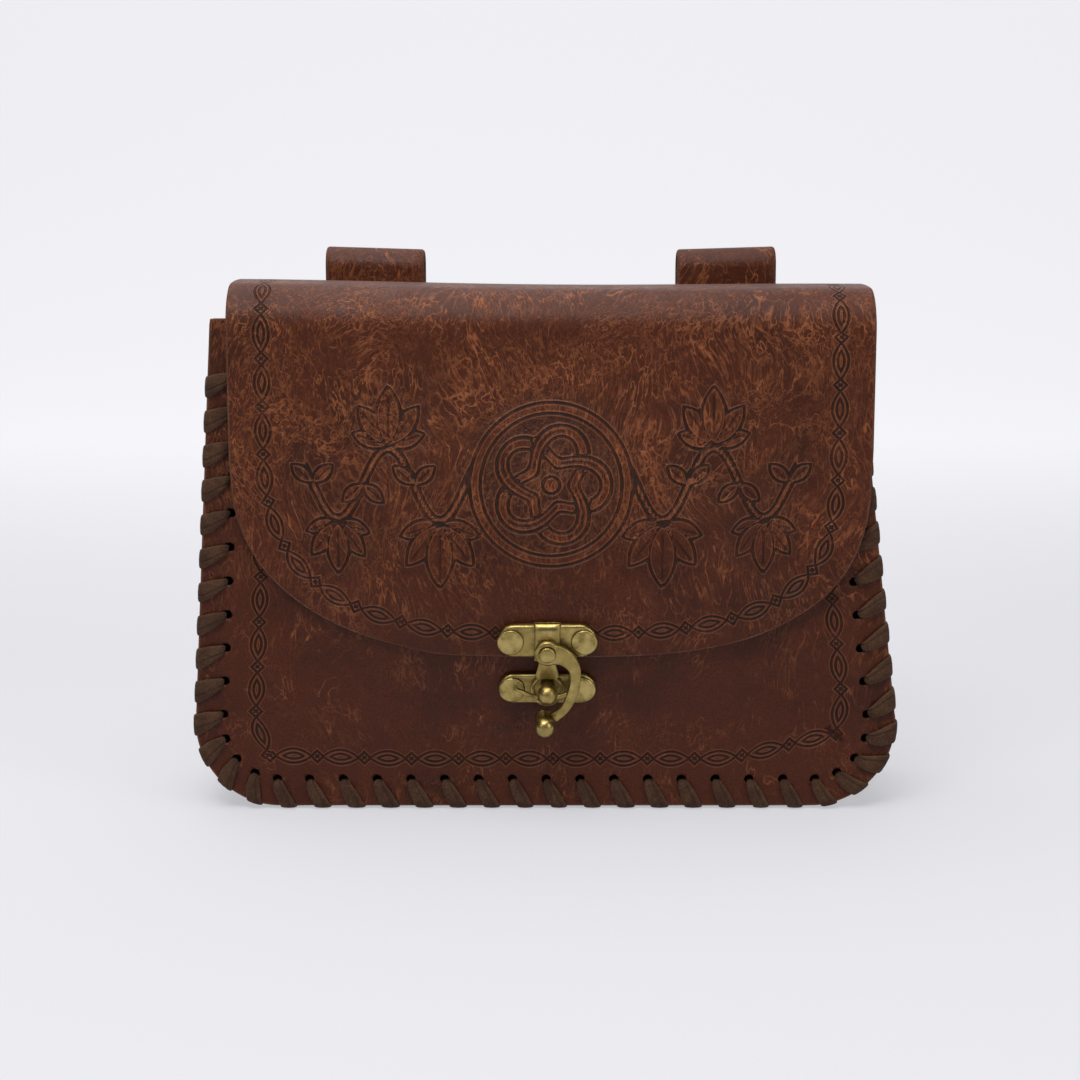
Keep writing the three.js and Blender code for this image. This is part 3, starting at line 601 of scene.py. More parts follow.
class FrontPanel:
    """Front of the body: one bulged sheet with rounded lower corners and a row of lace holes."""

    def __init__(self, columns: int = 224, rows: int = 134) -> None:
        """Sets how finely the sheet is divided."""
        self.columns = columns
        self.rows = rows

    @staticmethod
    def chain(x: Array, z: Array) -> Array:
        """Places along and across the frame of tooling: the least inset of its three sides wins."""
        b = BORDER
        left = OUTLINE.left.inside(x, z) - b.left_inset - b.left_dip * (1 - smooth(z, *b.left_bend))
        right = OUTLINE.right.inside(x, z) - b.right_inset - b.right_dip * (1 - smooth(z, *b.right_bend))
        bottom = z - b.bottom_rise - b.left_rise * smooth(-x, *b.left_slope)
        bottom = bottom - b.right_rise * smooth(x, *b.right_slope)
        across = np.stack([left, bottom, right])
        along = np.stack([(place - start) * stretch
                          for place, start, stretch in zip((z, x, z), b.starts, b.stretches)])
        nearest = across.argmin(axis=0)[None]
        return np.stack([np.take_along_axis(values, nearest, 0)[0] for values in (along, across)], -1)

    def build(self, looks: "Looks") -> None:
        """The panel with thickness, rounded rims and holes."""
        s = SIZES
        turn = np.linspace(0, math.pi / 2, 30)
        low = s.corner * (1 - np.cos(turn))
        high = np.linspace(s.corner, s.panel_height, self.rows - 29)[1:]
        z = np.concatenate([low, high])[:, None]
        share = np.linspace(0, 1, self.columns)[None, :]
        left, right = OUTLINE.bound(OUTLINE.left, z), OUTLINE.bound(OUTLINE.right, z)
        x = left + (right - left) * share
        z = z + 0 * x
        points = np.stack([x, SURFACE.panel(x, z) + seam_wave(x, z), z], -1)
        skin = sheet_patches(points, s.wall, s.rim, {"chain": self.chain(x, z)})
        built = build_object("front panel leather", skin, looks.sheet(Tooling.BODY))
        punch(built, OUTLINE.holes(s.wall / 2 - s.half_depth), [0.0, 1.0, 0.0])
        finish(built, "front_panel")


def seam_wave(x: Array, z: Array) -> Array:
    """Depth of the dents that the tight lace presses into the rim: soft bowls round each hole."""
    spots, _, outward = OUTLINE.station(OUTLINE.stitches())
    holes = spots - (SIZES.lace_inset - SIZES.dent_in) * outward
    dent = np.zeros(x.shape)
    for hx, hz in holes:
        reach = (x - hx) ** 2 + (z - hz) ** 2
        dent += np.where(reach < SIZES.dent_limit, np.exp(-reach / SIZES.dent_spread), 0.0)
    return SIZES.dent * dent


class Flap:
    """Back and flap in one sheet: up the back, over the top and down the front to a rounded edge."""

    def __init__(self, columns: int = 212, fall: int = 132, over: int = 36, back: int = 24) -> None:
        """Sets how finely the sheet is divided."""
        self.columns = columns
        self.fall = fall
        self.over = over
        self.back = back

    @staticmethod
    def centreline() -> tuple[Array, Array]:
        """Middle line of the tooled border, as places (x, height along the leather) and lengths.

        The flap's edge moved inwards along its own normal; the inset shrinks from the sides to the tip.
        """
        s = SIZES
        turn = np.linspace(-math.pi / 2, math.pi / 2, 700)
        x = s.flap_shift + s.flap_width / 2 * np.sin(turn)
        edge = np.stack([x, SURFACE.flap_edge(x)], 1)
        rise = np.linspace(BORDER.line_top, s.flap_shoulder + 0.5, 120)
        left = np.stack([np.full(120, x[0]), rise], 1)
        right = np.stack([np.full(120, x[-1]), rise[::-1]], 1)
        line = np.vstack([left, edge, right])
        side = smooth(line[:, 1], s.flap_tip + 4, s.flap_shoulder - 18)
        inset = BORDER.flap_bottom + (BORDER.flap_side - BORDER.flap_bottom) * side
        line = line + sideways(line) * inset[:, None]
        lengths = run_lengths(line)
        middle = lengths[np.argmin(np.abs(line[:, 0] + 1.6) + np.where(line[:, 1] < 80, 0, 999))]
        return line, lengths - middle

    def chain(self, x: Array, height: Array) -> Array:
        """Places along and across the border: nearest point of its middle line, signed inwards."""
        line, lengths = self.centreline()
        flat = np.stack([x.ravel(), height.ravel()], 1)
        result = np.empty((len(flat), 2))
        batch = 4000
        for start in range(0, len(flat), batch):
            part = flat[start:start + batch]
            gap = ((part[:, None] - line[None]) ** 2).sum(-1)
            near = gap.argmin(1)
            before, after = np.maximum(near - 1, 0), np.minimum(near + 1, len(line) - 1)
            along = unit(line[after] - line[before])
            offset = part - line[near]
            ahead = (offset * along).sum(1)
            across = along[:, 0] * offset[:, 1] - along[:, 1] * offset[:, 0]
            result[start:start + batch] = np.stack([lengths[near] + ahead, across], 1)
        return result.reshape(x.shape + (2,))

    def back_rows(self, across: Array, top: float) -> tuple[Array, Array]:
        """Points of the back panel up to the arch, with a mark instead of their heights."""
        s = SIZES
        foot = s.corner * (1 - np.cos(np.linspace(0, math.pi / 2, 12)))
        z = np.concatenate([foot, np.linspace(s.corner, top, self.back)[1:-1]])[:, None]
        left, right = OUTLINE.bound(OUTLINE.left, z), OUTLINE.bound(OUTLINE.right, z)
        x, z = np.broadcast_arrays(left + (right - left) * across, z)
        return np.stack([x, s.half_depth - seam_wave(x, z), z], -1), np.full(x.shape, BORDER.back_mark)

    @staticmethod
    def arch_rows(across: Array, section: Array) -> tuple[Array, Array]:
        """Points over the top, and their heights as if the leather stood straight up from the fall."""
        s = SIZES
        y, top, angle, blend = (section[:, i][:, None] for i in range(4))
        blend = smooth(blend, 0, 1)
        left = OUTLINE.left.at(top) * (1 - blend) + s.flap_left * blend
        right = OUTLINE.right.at(top) * (1 - blend) + (s.flap_left + s.flap_width) * blend
        x = left + (right - left) * across
        sag = s.arch_sag * np.sin(angle) * np.sin(math.pi * across) ** 2
        z = top - blend * s.arch_drop * (across - 0.5) - sag
        length = run_lengths(section[:, :2])
        height = section[-1, 1] + (length[-1] - length)[:, None] + 0 * x
        return np.stack([x, y + 0 * x, z], -1), height

    def fall_rows(self, across: Array, end: Array) -> tuple[Array, Array]:
        """Points and heights of the hanging front, from the end of the arch to the free edge."""
        s = SIZES
        share = np.linspace(0, 1, self.fall)[1:, None]
        x = s.flap_left + s.flap_width * across
        first = end[1] - s.arch_drop * (across - 0.5)
        z = first + (SURFACE.flap_edge(x) - first) * share
        x = x + 0 * z
        settled = smooth(end[1] - z, 0, s.settle)
        depth = end[0] * (1 - settled) + SURFACE.flap(x, z) * settled
        return np.stack([x, depth, z], -1), z

    def build(self, looks: "Looks") -> None:
        """The sheet with thickness, rims, tooling maps and the holes of the back seam."""
        s = SIZES
        even = np.linspace(-1, 1, self.columns)
        across = (0.5 + 0.25 * (even + np.sin(even * math.pi / 2)))[None, :]
        section = SURFACE.section(self.over)
        parts = (self.back_rows(across, section[0, 1]), self.arch_rows(across, section),
                 self.fall_rows(across, section[-1]))
        points, height = (np.vstack(rows) for rows in zip(*parts))
        chain = self.chain(points[..., 0], height)
        chain[..., 1] = np.where(height == BORDER.back_mark, NOWHERE, chain[..., 1])
        motif = Motif()
        outline, inner = motif.fields(points[..., 0], height)
        ground = motif.ground(points[..., 0], height, outline)
        maps = {
            "chain": chain,
            "motif": np.stack([outline, inner], -1),
            "ground": np.stack([ground, ground], -1),
        }
        skin = sheet_patches(points, s.wall, s.rim, maps, flip=True)
        built = build_object("back and flap leather", skin, looks.sheet(Tooling.FLAP))
        punch(built, OUTLINE.holes(s.half_depth - s.wall / 2), [0.0, 1.0, 0.0])
        finish(built, "back_and_flap")


class Motif:
    """Plain ornament tooled on the flap: an interlaced ring in the middle and leafy vines beside it."""

    middle = (0.75, 96.0)
    ring_radius = 21.5
    ring_half = 1.5
    knot_radius = 11.0
    knot_swing = 4.6
    strand = 1.5
    disc = 2.4
    far = 9.0
    stem_half = 0.95
    fan = ((-1.25, 12.0, 2.7), (1.25, 12.0, 2.7), (-0.66, 15.5, 3.3), (0.66, 15.5, 3.3), (0.0, 18.5, 3.9))
    fan_foot = 0.8
    leaflet = (0.85, 8.0, 2.0)
    shrink = 0.09
    bend_start = 31.5
    bend = 14.6
    bends = 2.6
    wave = 10.0
    turns = 2.5
    crossing = 0.9
    leaf_tip = 1.4
    leaf_rim = 0.3
    rib = (-0.7, 0.75, 0.5)
    beaten = 0.55

    def knot(self, x: Array, z: Array) -> tuple[Array, Array]:
        """Distance fields of a strand that runs twice round with five crossings.

        Its radius is knot_radius ± knot_swing·cos(2.5·angle), and the sign of sin(2.5·angle) tells which
        pass is on top.
        """
        dx, dz = x - self.middle[0], z - self.middle[1]
        radius, angle = np.hypot(dx, dz), np.arctan2(dz, dx)
        swing = self.knot_swing * np.cos(self.turns * angle)
        slope = self.turns * self.knot_swing * np.sin(self.turns * angle)
        steep = np.sqrt(1 + (slope / np.maximum(self.knot_radius, 1)) ** 2)
        passes = [(radius - self.knot_radius - sign * swing) / steep for sign in (1, -1)]
        over = np.where(slope > 0, passes[0], passes[1])
        under = np.where(slope > 0, passes[1], passes[0])
        near = np.abs(over) - self.strand
        both = np.where(near < self.crossing, near, np.minimum(near, np.abs(under) - self.strand))
        return np.minimum(both, radius - self.disc), np.where(near < 0, over, self.far)

    def leaves(self) -> Array:
        """Rows (x, z, direction, length, half-width) of the leaves of one side, largest last.

        In each bend of the vine a fan of leaves spreads from the stem towards the hollow of the bend.
        """
        rows = []
        for bend in range(3):
            side = 1 if bend % 2 else -1
            x = self.bend_start + self.bend * bend
            z = self.vine(np.array([x]))[0]
            grow = 1 - self.shrink * bend
            up = side * math.pi / 2
            for turn, length, width in self.fan:
                rows.append((x, z + side * self.fan_foot, up + turn, length * grow, width * grow))
            node = x + self.bend / 2
            turn, length, width = self.leaflet
            for sign in (-1, 1):
                rows.append((node, self.vine(np.array([node]))[0], sign * turn - up, length, width))
        return np.array(rows)

    def vine(self, x: Array) -> Array:
        """Height of the wavy stem: a cosine about the middle height."""
        return self.middle[1] - self.wave * np.cos((x - self.bend_start) / self.bend * math.pi)

    def fields(self, x: Array, z: Array) -> tuple[Array, Array]:
        """Signed fields, zero on the tooled lines: outlines, and the lines inside the shapes."""
        across = np.abs(x - self.middle[0])
        outline, inner = self.knot(x, z)
        radius = np.hypot(x - self.middle[0], z - self.middle[1])
        outline = np.minimum(outline, np.abs(radius - self.ring_radius) - self.ring_half)
        slope = self.wave * math.pi / self.bend * np.sin((across - self.bend_start) / self.bend * math.pi)
        stem = (z - self.vine(across)) / np.sqrt(1 + slope**2)
        ends = np.maximum(self.ring_radius + 2.0 - across, across - self.bend_start - self.bends * self.bend)
        outline = np.minimum(outline, np.maximum(np.abs(stem) - self.stem_half, ends))
        for lx, lz, direction, length, width in self.leaves():
            dx, dz = across - lx, z - lz
            along = dx * math.cos(direction) + dz * math.sin(direction)
            off = -dx * math.sin(direction) + dz * math.cos(direction)
            bow = 2 * along / length - 1
            leaf = np.abs(off) - width * (1 - np.clip(np.abs(bow), 0, 3) ** 2.0)
            leaf = np.where(np.abs(bow) > self.leaf_tip, self.far, leaf)
            start, end, inset = self.rib
            rib = np.where((leaf < -inset) & (bow > start) & (bow < end), off, self.far)
            inner = np.where(leaf < 0.2, rib, inner)
            rim = self.leaf_rim
            outline = np.where(leaf < rim, leaf, np.minimum(outline, np.maximum(leaf, rim)))
        return np.clip(outline, -self.far, self.far), np.clip(inner, -self.far, self.far)

    def ground(self, x: Array, z: Array, outline: Array) -> Array:
        """How deep the ground is beaten down: full inside the ring, soft around the leaves."""
        radius = np.hypot(x - self.middle[0], z - self.middle[1])
        inside = 1 - smooth(radius, self.ring_radius - 2.6, self.ring_radius - 1.4)
        inside = inside * smooth(outline, 0.2, 0.9)
        band = smooth(outline, 0.3, 1.0) * (1 - smooth(outline, 1.6, 5.5))
        return np.clip(inside + self.beaten * band * (radius > self.ring_radius), 0, 1)


class Gusset:
    """Strip between the panels, down one side, along the bottom and up the other."""

    hollow = 1.1
    hollow_from = (20.0, 60.0)

    def build(self, looks: "Looks") -> None:
        """The U-shaped strip, slightly hollow in the middle, with both rows of holes."""
        s = SIZES
        reach = s.half_depth - s.wall - s.gap
        cut = (s.panel_height - s.gusset_height) / OUTLINE.left.up[1]
        length = np.linspace(cut, OUTLINE.total - cut, 460)
        spots, _, outward = OUTLINE.station(length)
        depth = np.linspace(-reach, reach, 40)
        hollow = self.hollow * (1 - (depth / reach) ** 2) ** 2
        side = np.abs(outward[:, 0])[:, None] * smooth(spots[:, 1], *self.hollow_from)[:, None]
        inset = hollow[None, :] * side
        points = np.stack([
            spots[:, None, 0] - inset * outward[:, None, 0],
            depth[None, :] + 0 * inset,
            spots[:, None, 1] - inset * outward[:, None, 1],
        ], -1)
        skin = sheet_patches(points, s.wall, s.gusset_rim)
        built = build_object("gusset leather", skin, looks.sheet(Tooling.PLAIN))
        spots, _, outward = OUTLINE.station(OUTLINE.stitches() + s.pitch / 2)
        level = 0 * spots[:, 0]
        axes = np.stack([outward[:, 0], level, outward[:, 1]], 1)
        centres = np.stack([spots[:, 0], level, spots[:, 1]], 1)
        shift = np.array([0.0, s.half_depth - s.lace_inset, 0.0])
        punch(built, np.vstack([centres - shift, centres + shift]), np.vstack([axes, axes]))
        finish(built, "gusset")


LACE_STOPS = np.array([
    (-6.7, 19.6, 0.05, 2.0),
    (-6.75, 21.4, 0.05, 2.2),
    (-6.4, 23.25, 0.07, 3.1),
    (-5.0, 23.8, 0.13, 3.9),
    (-3.2, 23.75, 0.21, 4.5),
    (-0.4, 23.55, 0.34, 4.9),
    (0.75, 22.4, 0.38, 5.0),
    (0.85, 19.9, 0.42, 4.4),
    (0.75, 17.2, 0.48, 2.7),
    (0.1, 15.5, 0.50, 1.8),
    (-1.4, 15.2, 0.50, 1.6),
    (-2.6, 15.3, 0.50, 1.6),
])


class Lacing:
    """Flat suede lace: out through a hole, over the edge and in through the gusset, again and again."""

    thickness = 1.0
    cup = 0.12
    sway = 0.0175
    sway_from = (-7.0, 0.0)
    widen = 0.24
    widen_from = (-6.5, -1.0)
    uneven = 0.07
    strip = 18.0
    strip_step = 23.0

    def __init__(self, side: int) -> None:
        """Sets the side: -1 for the front seam, 1 for the back seam."""
        self.side = side

    def build(self, looks: "Looks") -> None:
        """A row of strips, each swept through the stops: distance out, depth, share ahead, width."""
        stops = spline(LACE_STOPS, 34)
        lengths = OUTLINE.stitches()
        count, steps = len(lengths), len(stops)
        stitch = np.arange(count)
        sway = self.sway * np.sin(stitch * 12.9898)
        ahead = stops[None, :, 2] + sway[:, None] * smooth(stops[:, 0], *self.sway_from)[None]
        spots, forward, outward = OUTLINE.station(lengths[:, None] + ahead * SIZES.pitch)
        out, depth = stops[None, :, 0], stops[None, :, 1]
        slope = unit(np.gradient(stops[:, :2], axis=0))
        wide, thick = rounded(circle(12), 0.55, 0.7)
        widen = self.widen * smooth(stops[:, 0], *self.widen_from)
        spread = 1 + widen[None, :, None] * outward[..., :1] ** 2
        uneven = 1 + self.uneven * np.sin(stitch * 7.1)[:, None, None]
        width = stops[None, :, 3, None] * spread * uneven
        offset = thick[None, None] * self.thickness / 2 - self.cup * wide[None, None] ** 2
        radial = out[..., None] + slope[None, :, 1, None] * -offset
        level = depth[..., None] + slope[None, :, 0, None] * offset
        lead = wide[None, None] * width / 2
        x, z = (spots[..., i, None] + radial * outward[..., i, None] + lead * forward[..., i, None]
                for i in (0, 1))
        points = np.stack([x, self.side * level + 0 * x, z], -1)
        along = np.linspace(0, self.strip, steps)[None, :, None] + self.strip_step * stitch[:, None, None]
        maps = np.stack(np.broadcast_arrays(along, wide), -1)
        patches = []
        for strip, plot in zip(points, maps):
            patches += rows_patch(strip, flip=self.side > 0, maps={"strip": plot})
        name = "front" if self.side < 0 else "back"
        built = build_object(f"{name} lacing suede", patches, [looks.suede])
        finish(built, f"{name}_lacing")


class BeltLoop:
    """Strap folded into a loop for the belt: both ends lie together on the back, held by two rivets."""

    width = 30.0
    strap = 2.0
    space = 8.0
    top = 160.8
    foot = 72.0
    tail = 13.0
    rivets = 14.0
    spacing = 107.0
    pinch_top = 101.0
    pinch_foot = 86.0
    lean = 0.03
    lean_from = 130.0
    lean_to = 158.0
    rim_in = 0.8
    rim_flat = 0.2
    rim_fall = 0.4
    rivet_sunk = 0.95

    def __init__(self, side: int) -> None:
        """Sets the side: -1 for the left loop, 1 for the right one."""
        self.side = side
        self.name = "left" if side < 0 else "right"
        self.x = SIZES.middle + side * self.spacing / 2
        self.near = SIZES.half_depth + SIZES.gap

    def middle_line(self) -> Array:
        """Depth and height of the strap's middle: up, round the top, down, and in to the tail."""
        near = self.near + self.strap / 2
        far = self.near + 1.5 * self.strap + self.space
        radius = (far - near) / 2
        turn = np.linspace(0, math.pi, 24)
        level = self.top - radius - self.strap / 2
        drop = np.linspace(0, 1, 14)[1:]
        joined = near + self.strap
        return np.vstack([
            np.stack([np.full(16, near), np.linspace(self.foot, level, 17)[:-1]], 1),
            np.stack([(near + far) / 2 - radius * np.cos(turn), level + radius * np.sin(turn)], 1),
            np.stack([np.full(12, far), np.linspace(level, self.pinch_top, 13)[1:]], 1),
            np.stack([far + (joined - far) * smooth(drop, 0, 1),
                      self.pinch_top + (self.pinch_foot - self.pinch_top) * drop], 1),
            np.stack([np.full(6, joined), np.linspace(self.pinch_foot, self.foot, 7)[1:]], 1),
        ])

    def section(self) -> tuple[Array, Array]:
        """Places across the strap and through its thickness, once round its section."""
        half, rim, count = self.width / 2, self.strap / 2, 15
        flat = np.linspace(-1, 1, count) * (half - self.rim_in)
        shoulder, side = half - self.rim_flat, rim - self.rim_fall
        across = np.concatenate([flat, [shoulder, half, shoulder], -flat, [-shoulder, -half, -shoulder]])
        face = np.full(count, rim)
        through = np.concatenate([face, [side, 0.0, -side], -face, [-side, 0.0, side]])
        return across, through

    def build(self, looks: "Looks") -> None:
        """The strap, swept along its folded middle line with rounded cut edges."""
        line = self.middle_line()
        outward = sideways(line)
        side_x, side_t = self.section()
        lean = self.side * self.lean * smooth(line[:, 1:], self.lean_from, self.lean_to)
        x = self.x + side_x + 0 * line[:, :1]
        y = line[:, :1] + side_t * outward[:, :1]
        z = line[:, 1:] + side_t * outward[:, 1:] + lean * side_x
        body = rows_patch(np.stack([x, y, z], -1))
        edge = np.abs(side_x) > self.width / 2 - self.rim_in - TINY
        pair = edge & np.roll(edge, -1)
        body[0].kinds = np.where(np.tile(pair, len(line) - 1), 2, body[0].kinds)
        for cap in body[1:]:
            cap.kinds = np.full(len(cap.faces), 2)
        built = build_object(f"belt loop {self.name} leather", body, looks.sheet(Tooling.PLAIN))
        finish(built, f"belt_loop_{self.name}")

    def build_rivets(self, looks: "Looks") -> None:
        """The two rivets through the tail of the strap."""
        outer = self.near + 2 * self.strap + SIZES.gap
        inner = SIZES.half_depth - SIZES.wall
        profile = np.array([
            (0.0, outer + 0.75), (2.2, outer + 0.68), (3.4, outer + 0.45), (3.8, outer + 0.1), (3.7, outer),
            (1.2, outer), (1.2, inner - SIZES.gap), (3.2, inner - SIZES.gap),
            (3.2, inner - self.rivet_sunk), (0.0, inner - self.rivet_sunk),
        ])
        turn = circle(28)
        for number, shift in enumerate((-1, 1), start=1):
            x = self.x + shift * self.rivets / 2 + profile[:, :1] * np.cos(turn)
            z = self.foot + self.tail / 2 + profile[:, :1] * np.sin(turn)
            rings = rows_patch(np.stack([x, profile[:, 1:] + 0 * x, z], -1), ends=False)
            built = build_object(f"loop rivet {self.name} {number} brass", rings, [looks.brass])
            weld(built)
            finish(built, f"loop_rivet_{self.name}_{number}")


@dataclass(frozen=True)
class ClaspSizes:
    """Named sizes of the swing clasp, in millimetres, in its own frame: across, up, out of the leather."""

    spacing: float = 16.2
    upper_length: float = 28.6
    upper_height: float = 10.0
    upper_level: float = 2.7
    upper_thick: float = 2.3
    lower_length: float = 28.2
    lower_height: float = 9.3
    lower_level: float = 0.35
    lower_thick: float = 1.9
    bridge_width: float = 8.2
    bridge_face: float = 6.0
    tongue_neck: float = 5.3
    tongue_thick: float = 1.5
    tongue_level: float = 2.6
    ring_outer: float = 4.9
    ring_inner: float = 3.85
    ring_up: float = 0.3
    post_up: float = 2.0
    post_radius: float = 1.5
    post_ball: float = 2.9
    post_level: float = 10.0
    post_sunk: float = 1.0
    post_foot: float = 2.3
    pivot_up: float = 13.7
    pivot_radius: float = 1.2
    pivot_head: float = 2.4
    arm_level: float = 6.35
    arm_thick: float = 2.0
    hub: float = 3.75
    prong_radius: float = 14.15
    prong_width: float = 1.2
    prong_thick: float = 1.3
    prong_root: float = math.radians(24)
    prong_tip: float = math.radians(-39)
    knob_across: float = -0.7
    knob_up: float = -7.1
    knob_level: float = 12.3
    knob_neck: float = 1.8
    knob_ball: float = 3.0
    knob_foot: float = 2.9
    upper_rivets: float = 21.0
    lower_rivets: float = 20.4


CLASP = ClaspSizes()
ARM_LINE = np.array([
    (0.0, 13.7, 6.4), (4.4, 12.7, 5.4), (7.4, 9.6, 3.9), (8.0, 6.0, 3.1),
    (7.2, 1.3, 3.1), (5.2, -3.3, 2.7), (1.8, -6.5, 3.0),
])


class Clasp:
    """Swing clasp of cast brass: two riveted plates, a ring and a post, and an arm that turns on a pin."""

    origin = np.array([0.457, -24.106, 37.95])
    axes = np.array([(1.0, 0.0, 0.0), (0.0, -0.20927, 0.97786), (0.0, -0.97786, -0.20927)])

    def place(self, across: Array, up: Array, out: Array) -> Array:
        """Points of the clasp's frame as millimetres of the part's frame."""
        return self.origin + np.stack(np.broadcast_arrays(across, up, out), -1) @ self.axes

    @staticmethod
    def cast(name: str, patches: list[Patch], metal: bpy.types.Material, node: str,
             body: str = "root") -> None:
        """Makes one brass piece from its patches."""
        built = build_object(f"{name} brass", patches, [metal], placed=True)
        weld(built)
        finish(built, node, body)

    def bar(self, length: float, height: float, up: float, level: float, thick: float) -> list[Patch]:
        """A bar with round ends: a stadium outline drawn in towards a softened top edge."""
        turn = np.linspace(-math.pi / 2, math.pi / 2, 25)
        centre = length / 2 - height / 2
        cos, sin = np.cos(turn), np.sin(turn)
        direction = np.stack([np.concatenate([cos, -cos]), np.concatenate([sin, -sin])], 1)
        hub = np.concatenate([np.full(25, centre), np.full(25, -centre)])
        count = np.arange(50)
        wave = 1 + 0.012 * np.sin(count * 2.4) + 0.01 * np.sin(count * 0.9)
        rows = np.array([
            (0.15, 0.0), (0.0, 0.2), (0.0, 0.55), (0.1, 0.75), (0.3, 0.9), (0.62, 0.98), (1.1, 1.0),
            (2.6, 1.0),
        ])
        radius = (height / 2 - rows[:, :1]) * wave
        x = hub + radius * direction[:, 0]
        y = up + radius * direction[:, 1]
        return rows_patch(self.place(x, y, level + rows[:, 1:] * thick))

    def lathe(self, across: float, up: float, profile: Array) -> list[Patch]:
        """A turned piece: rows of radius and level about an axis that stands out from the leather."""
        turn = circle(36)
        x = across + profile[:, :1] * np.cos(turn)
        y = up + profile[:, :1] * np.sin(turn)
        return rows_patch(self.place(x, y, profile[:, 1:]), ends=False)

    def ball(self, across: float, up: float, stem: float, radius: float, base: float, level: float,
             foot: float) -> list[Patch]:
        """A ball on a waisted stem: a cone-like foot, a thin neck and the sphere."""
        start = math.asin(min(0.98, stem * 0.93 / radius))
        turn = np.linspace(math.pi - start, 0, 20)
        sphere = np.stack([radius * np.sin(turn), level + radius * np.cos(turn)], 1)
        neck = sphere[0, 1]
        waist = np.linspace(0, 1, 8)[:, None]
        stem_rows = np.hstack([stem + (foot - stem) * (1 - waist) ** 2.2, base + (neck - base) * waist])
        return self.lathe(across, up, np.vstack([[(0.0, base)], stem_rows, sphere[1:]]))

    def band(self, line: Array, level: float, thick: float, soft: float = 0.42) -> list[Patch]:
        """A flat strip with softened edges, swept along rows of across, up and width."""
        side = sideways(line[:, :2])
        wide, high = rounded(circle(24), soft, soft)
        x, y = (line[:, i:i + 1] + side[:, i:i + 1] * wide * line[:, 2:] / 2 for i in (0, 1))
        return rows_patch(self.place(x, y, level + thick / 2 + high * thick / 2))

    def ring(self, inner: float, outer: float, up: float, level: float, thick: float) -> list[Patch]:
        """A flat ring with a rounded section."""
        turn = circle(48)[:, None]
        wide, high = rounded(circle(16), 0.6, 0.6)
        radius = (inner + outer) / 2 + wide * (outer - inner) / 2
        level = level + thick / 2 + high * thick / 2
        rings = self.place(radius * np.cos(turn), up + radius * np.sin(turn), level)
        return [grid_patch(rings, (True, True), flip=True)]

    def upper_plate(self, looks: "Looks") -> None:
        """Plate on the flap: bar, raised bridge, pin and the tongue with its ring."""
        c = CLASP
        patches = self.bar(c.upper_length, c.upper_height, c.spacing, c.upper_level, c.upper_thick)
        low, high = c.spacing - c.upper_height / 2, c.spacing + c.upper_height / 2
        top = c.upper_level + c.upper_thick
        bridge = np.array([
            (low + 0.2, top - 1.6, 0.6), (low - 0.5, top - 0.6, 0.3), (low - 0.6, c.bridge_face - 0.6, 0.1),
            (low - 0.1, c.bridge_face, 0.35), (c.spacing + 0.6, c.bridge_face, 0.45),
            (high - 1.2, top + 0.75, 0.4), (high + 0.3, top - 0.4, 0.2), (high, top - 1.6, 0.5),
        ])
        rows = spline(bridge, 40)
        across = np.linspace(-1, 1, 15)
        x = across * (c.bridge_width / 2 - rows[:, 2:])
        out = rows[:, 1:2] - 0.45 * np.abs(across) ** 6
        x = np.hstack([x, x[:, [-1, 0]]])
        out = np.hstack([out, np.full((len(rows), 2), top - 1.8)])
        patches += rows_patch(self.place(x, rows[:, :1], out))
        neck = np.array([
            (0.0, low + 1.0, c.tongue_neck), (0.0, low - 1.0, c.tongue_neck * 0.95),
            (0.0, low - 2.8, c.tongue_neck * 0.98),
            (0.0, c.ring_up + c.ring_outer - 0.5, c.tongue_neck * 1.3),
            (0.0, c.ring_up + c.ring_inner - 0.1, c.tongue_neck * 1.02),
        ])
        patches += self.band(spline(neck, 24), c.tongue_level, c.tongue_thick)
        patches += self.ring(c.ring_inner, c.ring_outer, c.ring_up, c.tongue_level, c.tongue_thick)
        head = np.array([
            (c.pivot_radius, top - 0.5), (c.pivot_radius, 8.66), (2.0, 8.7), (c.pivot_head, 8.95),
            (c.pivot_head - 0.15, 9.25), (1.7, 9.46), (0.8, 9.52), (0.0, 9.54),
        ])
        patches += self.lathe(0.0, c.pivot_up, head)
        self.cast("clasp upper plate", patches, looks.brass, "upper_plate")

    def lower_plate(self, looks: "Looks") -> None:
        """Plate on the front panel, with the post and its ball."""
        c = CLASP
        patches = self.bar(c.lower_length, c.lower_height, 0.0, c.lower_level, c.lower_thick)
        base = c.lower_level + c.post_sunk
        patches += self.ball(0.0, c.post_up, c.post_radius, c.post_ball, base, c.post_level, c.post_foot)
        self.cast("clasp lower plate", patches, looks.brass, "lower_plate")

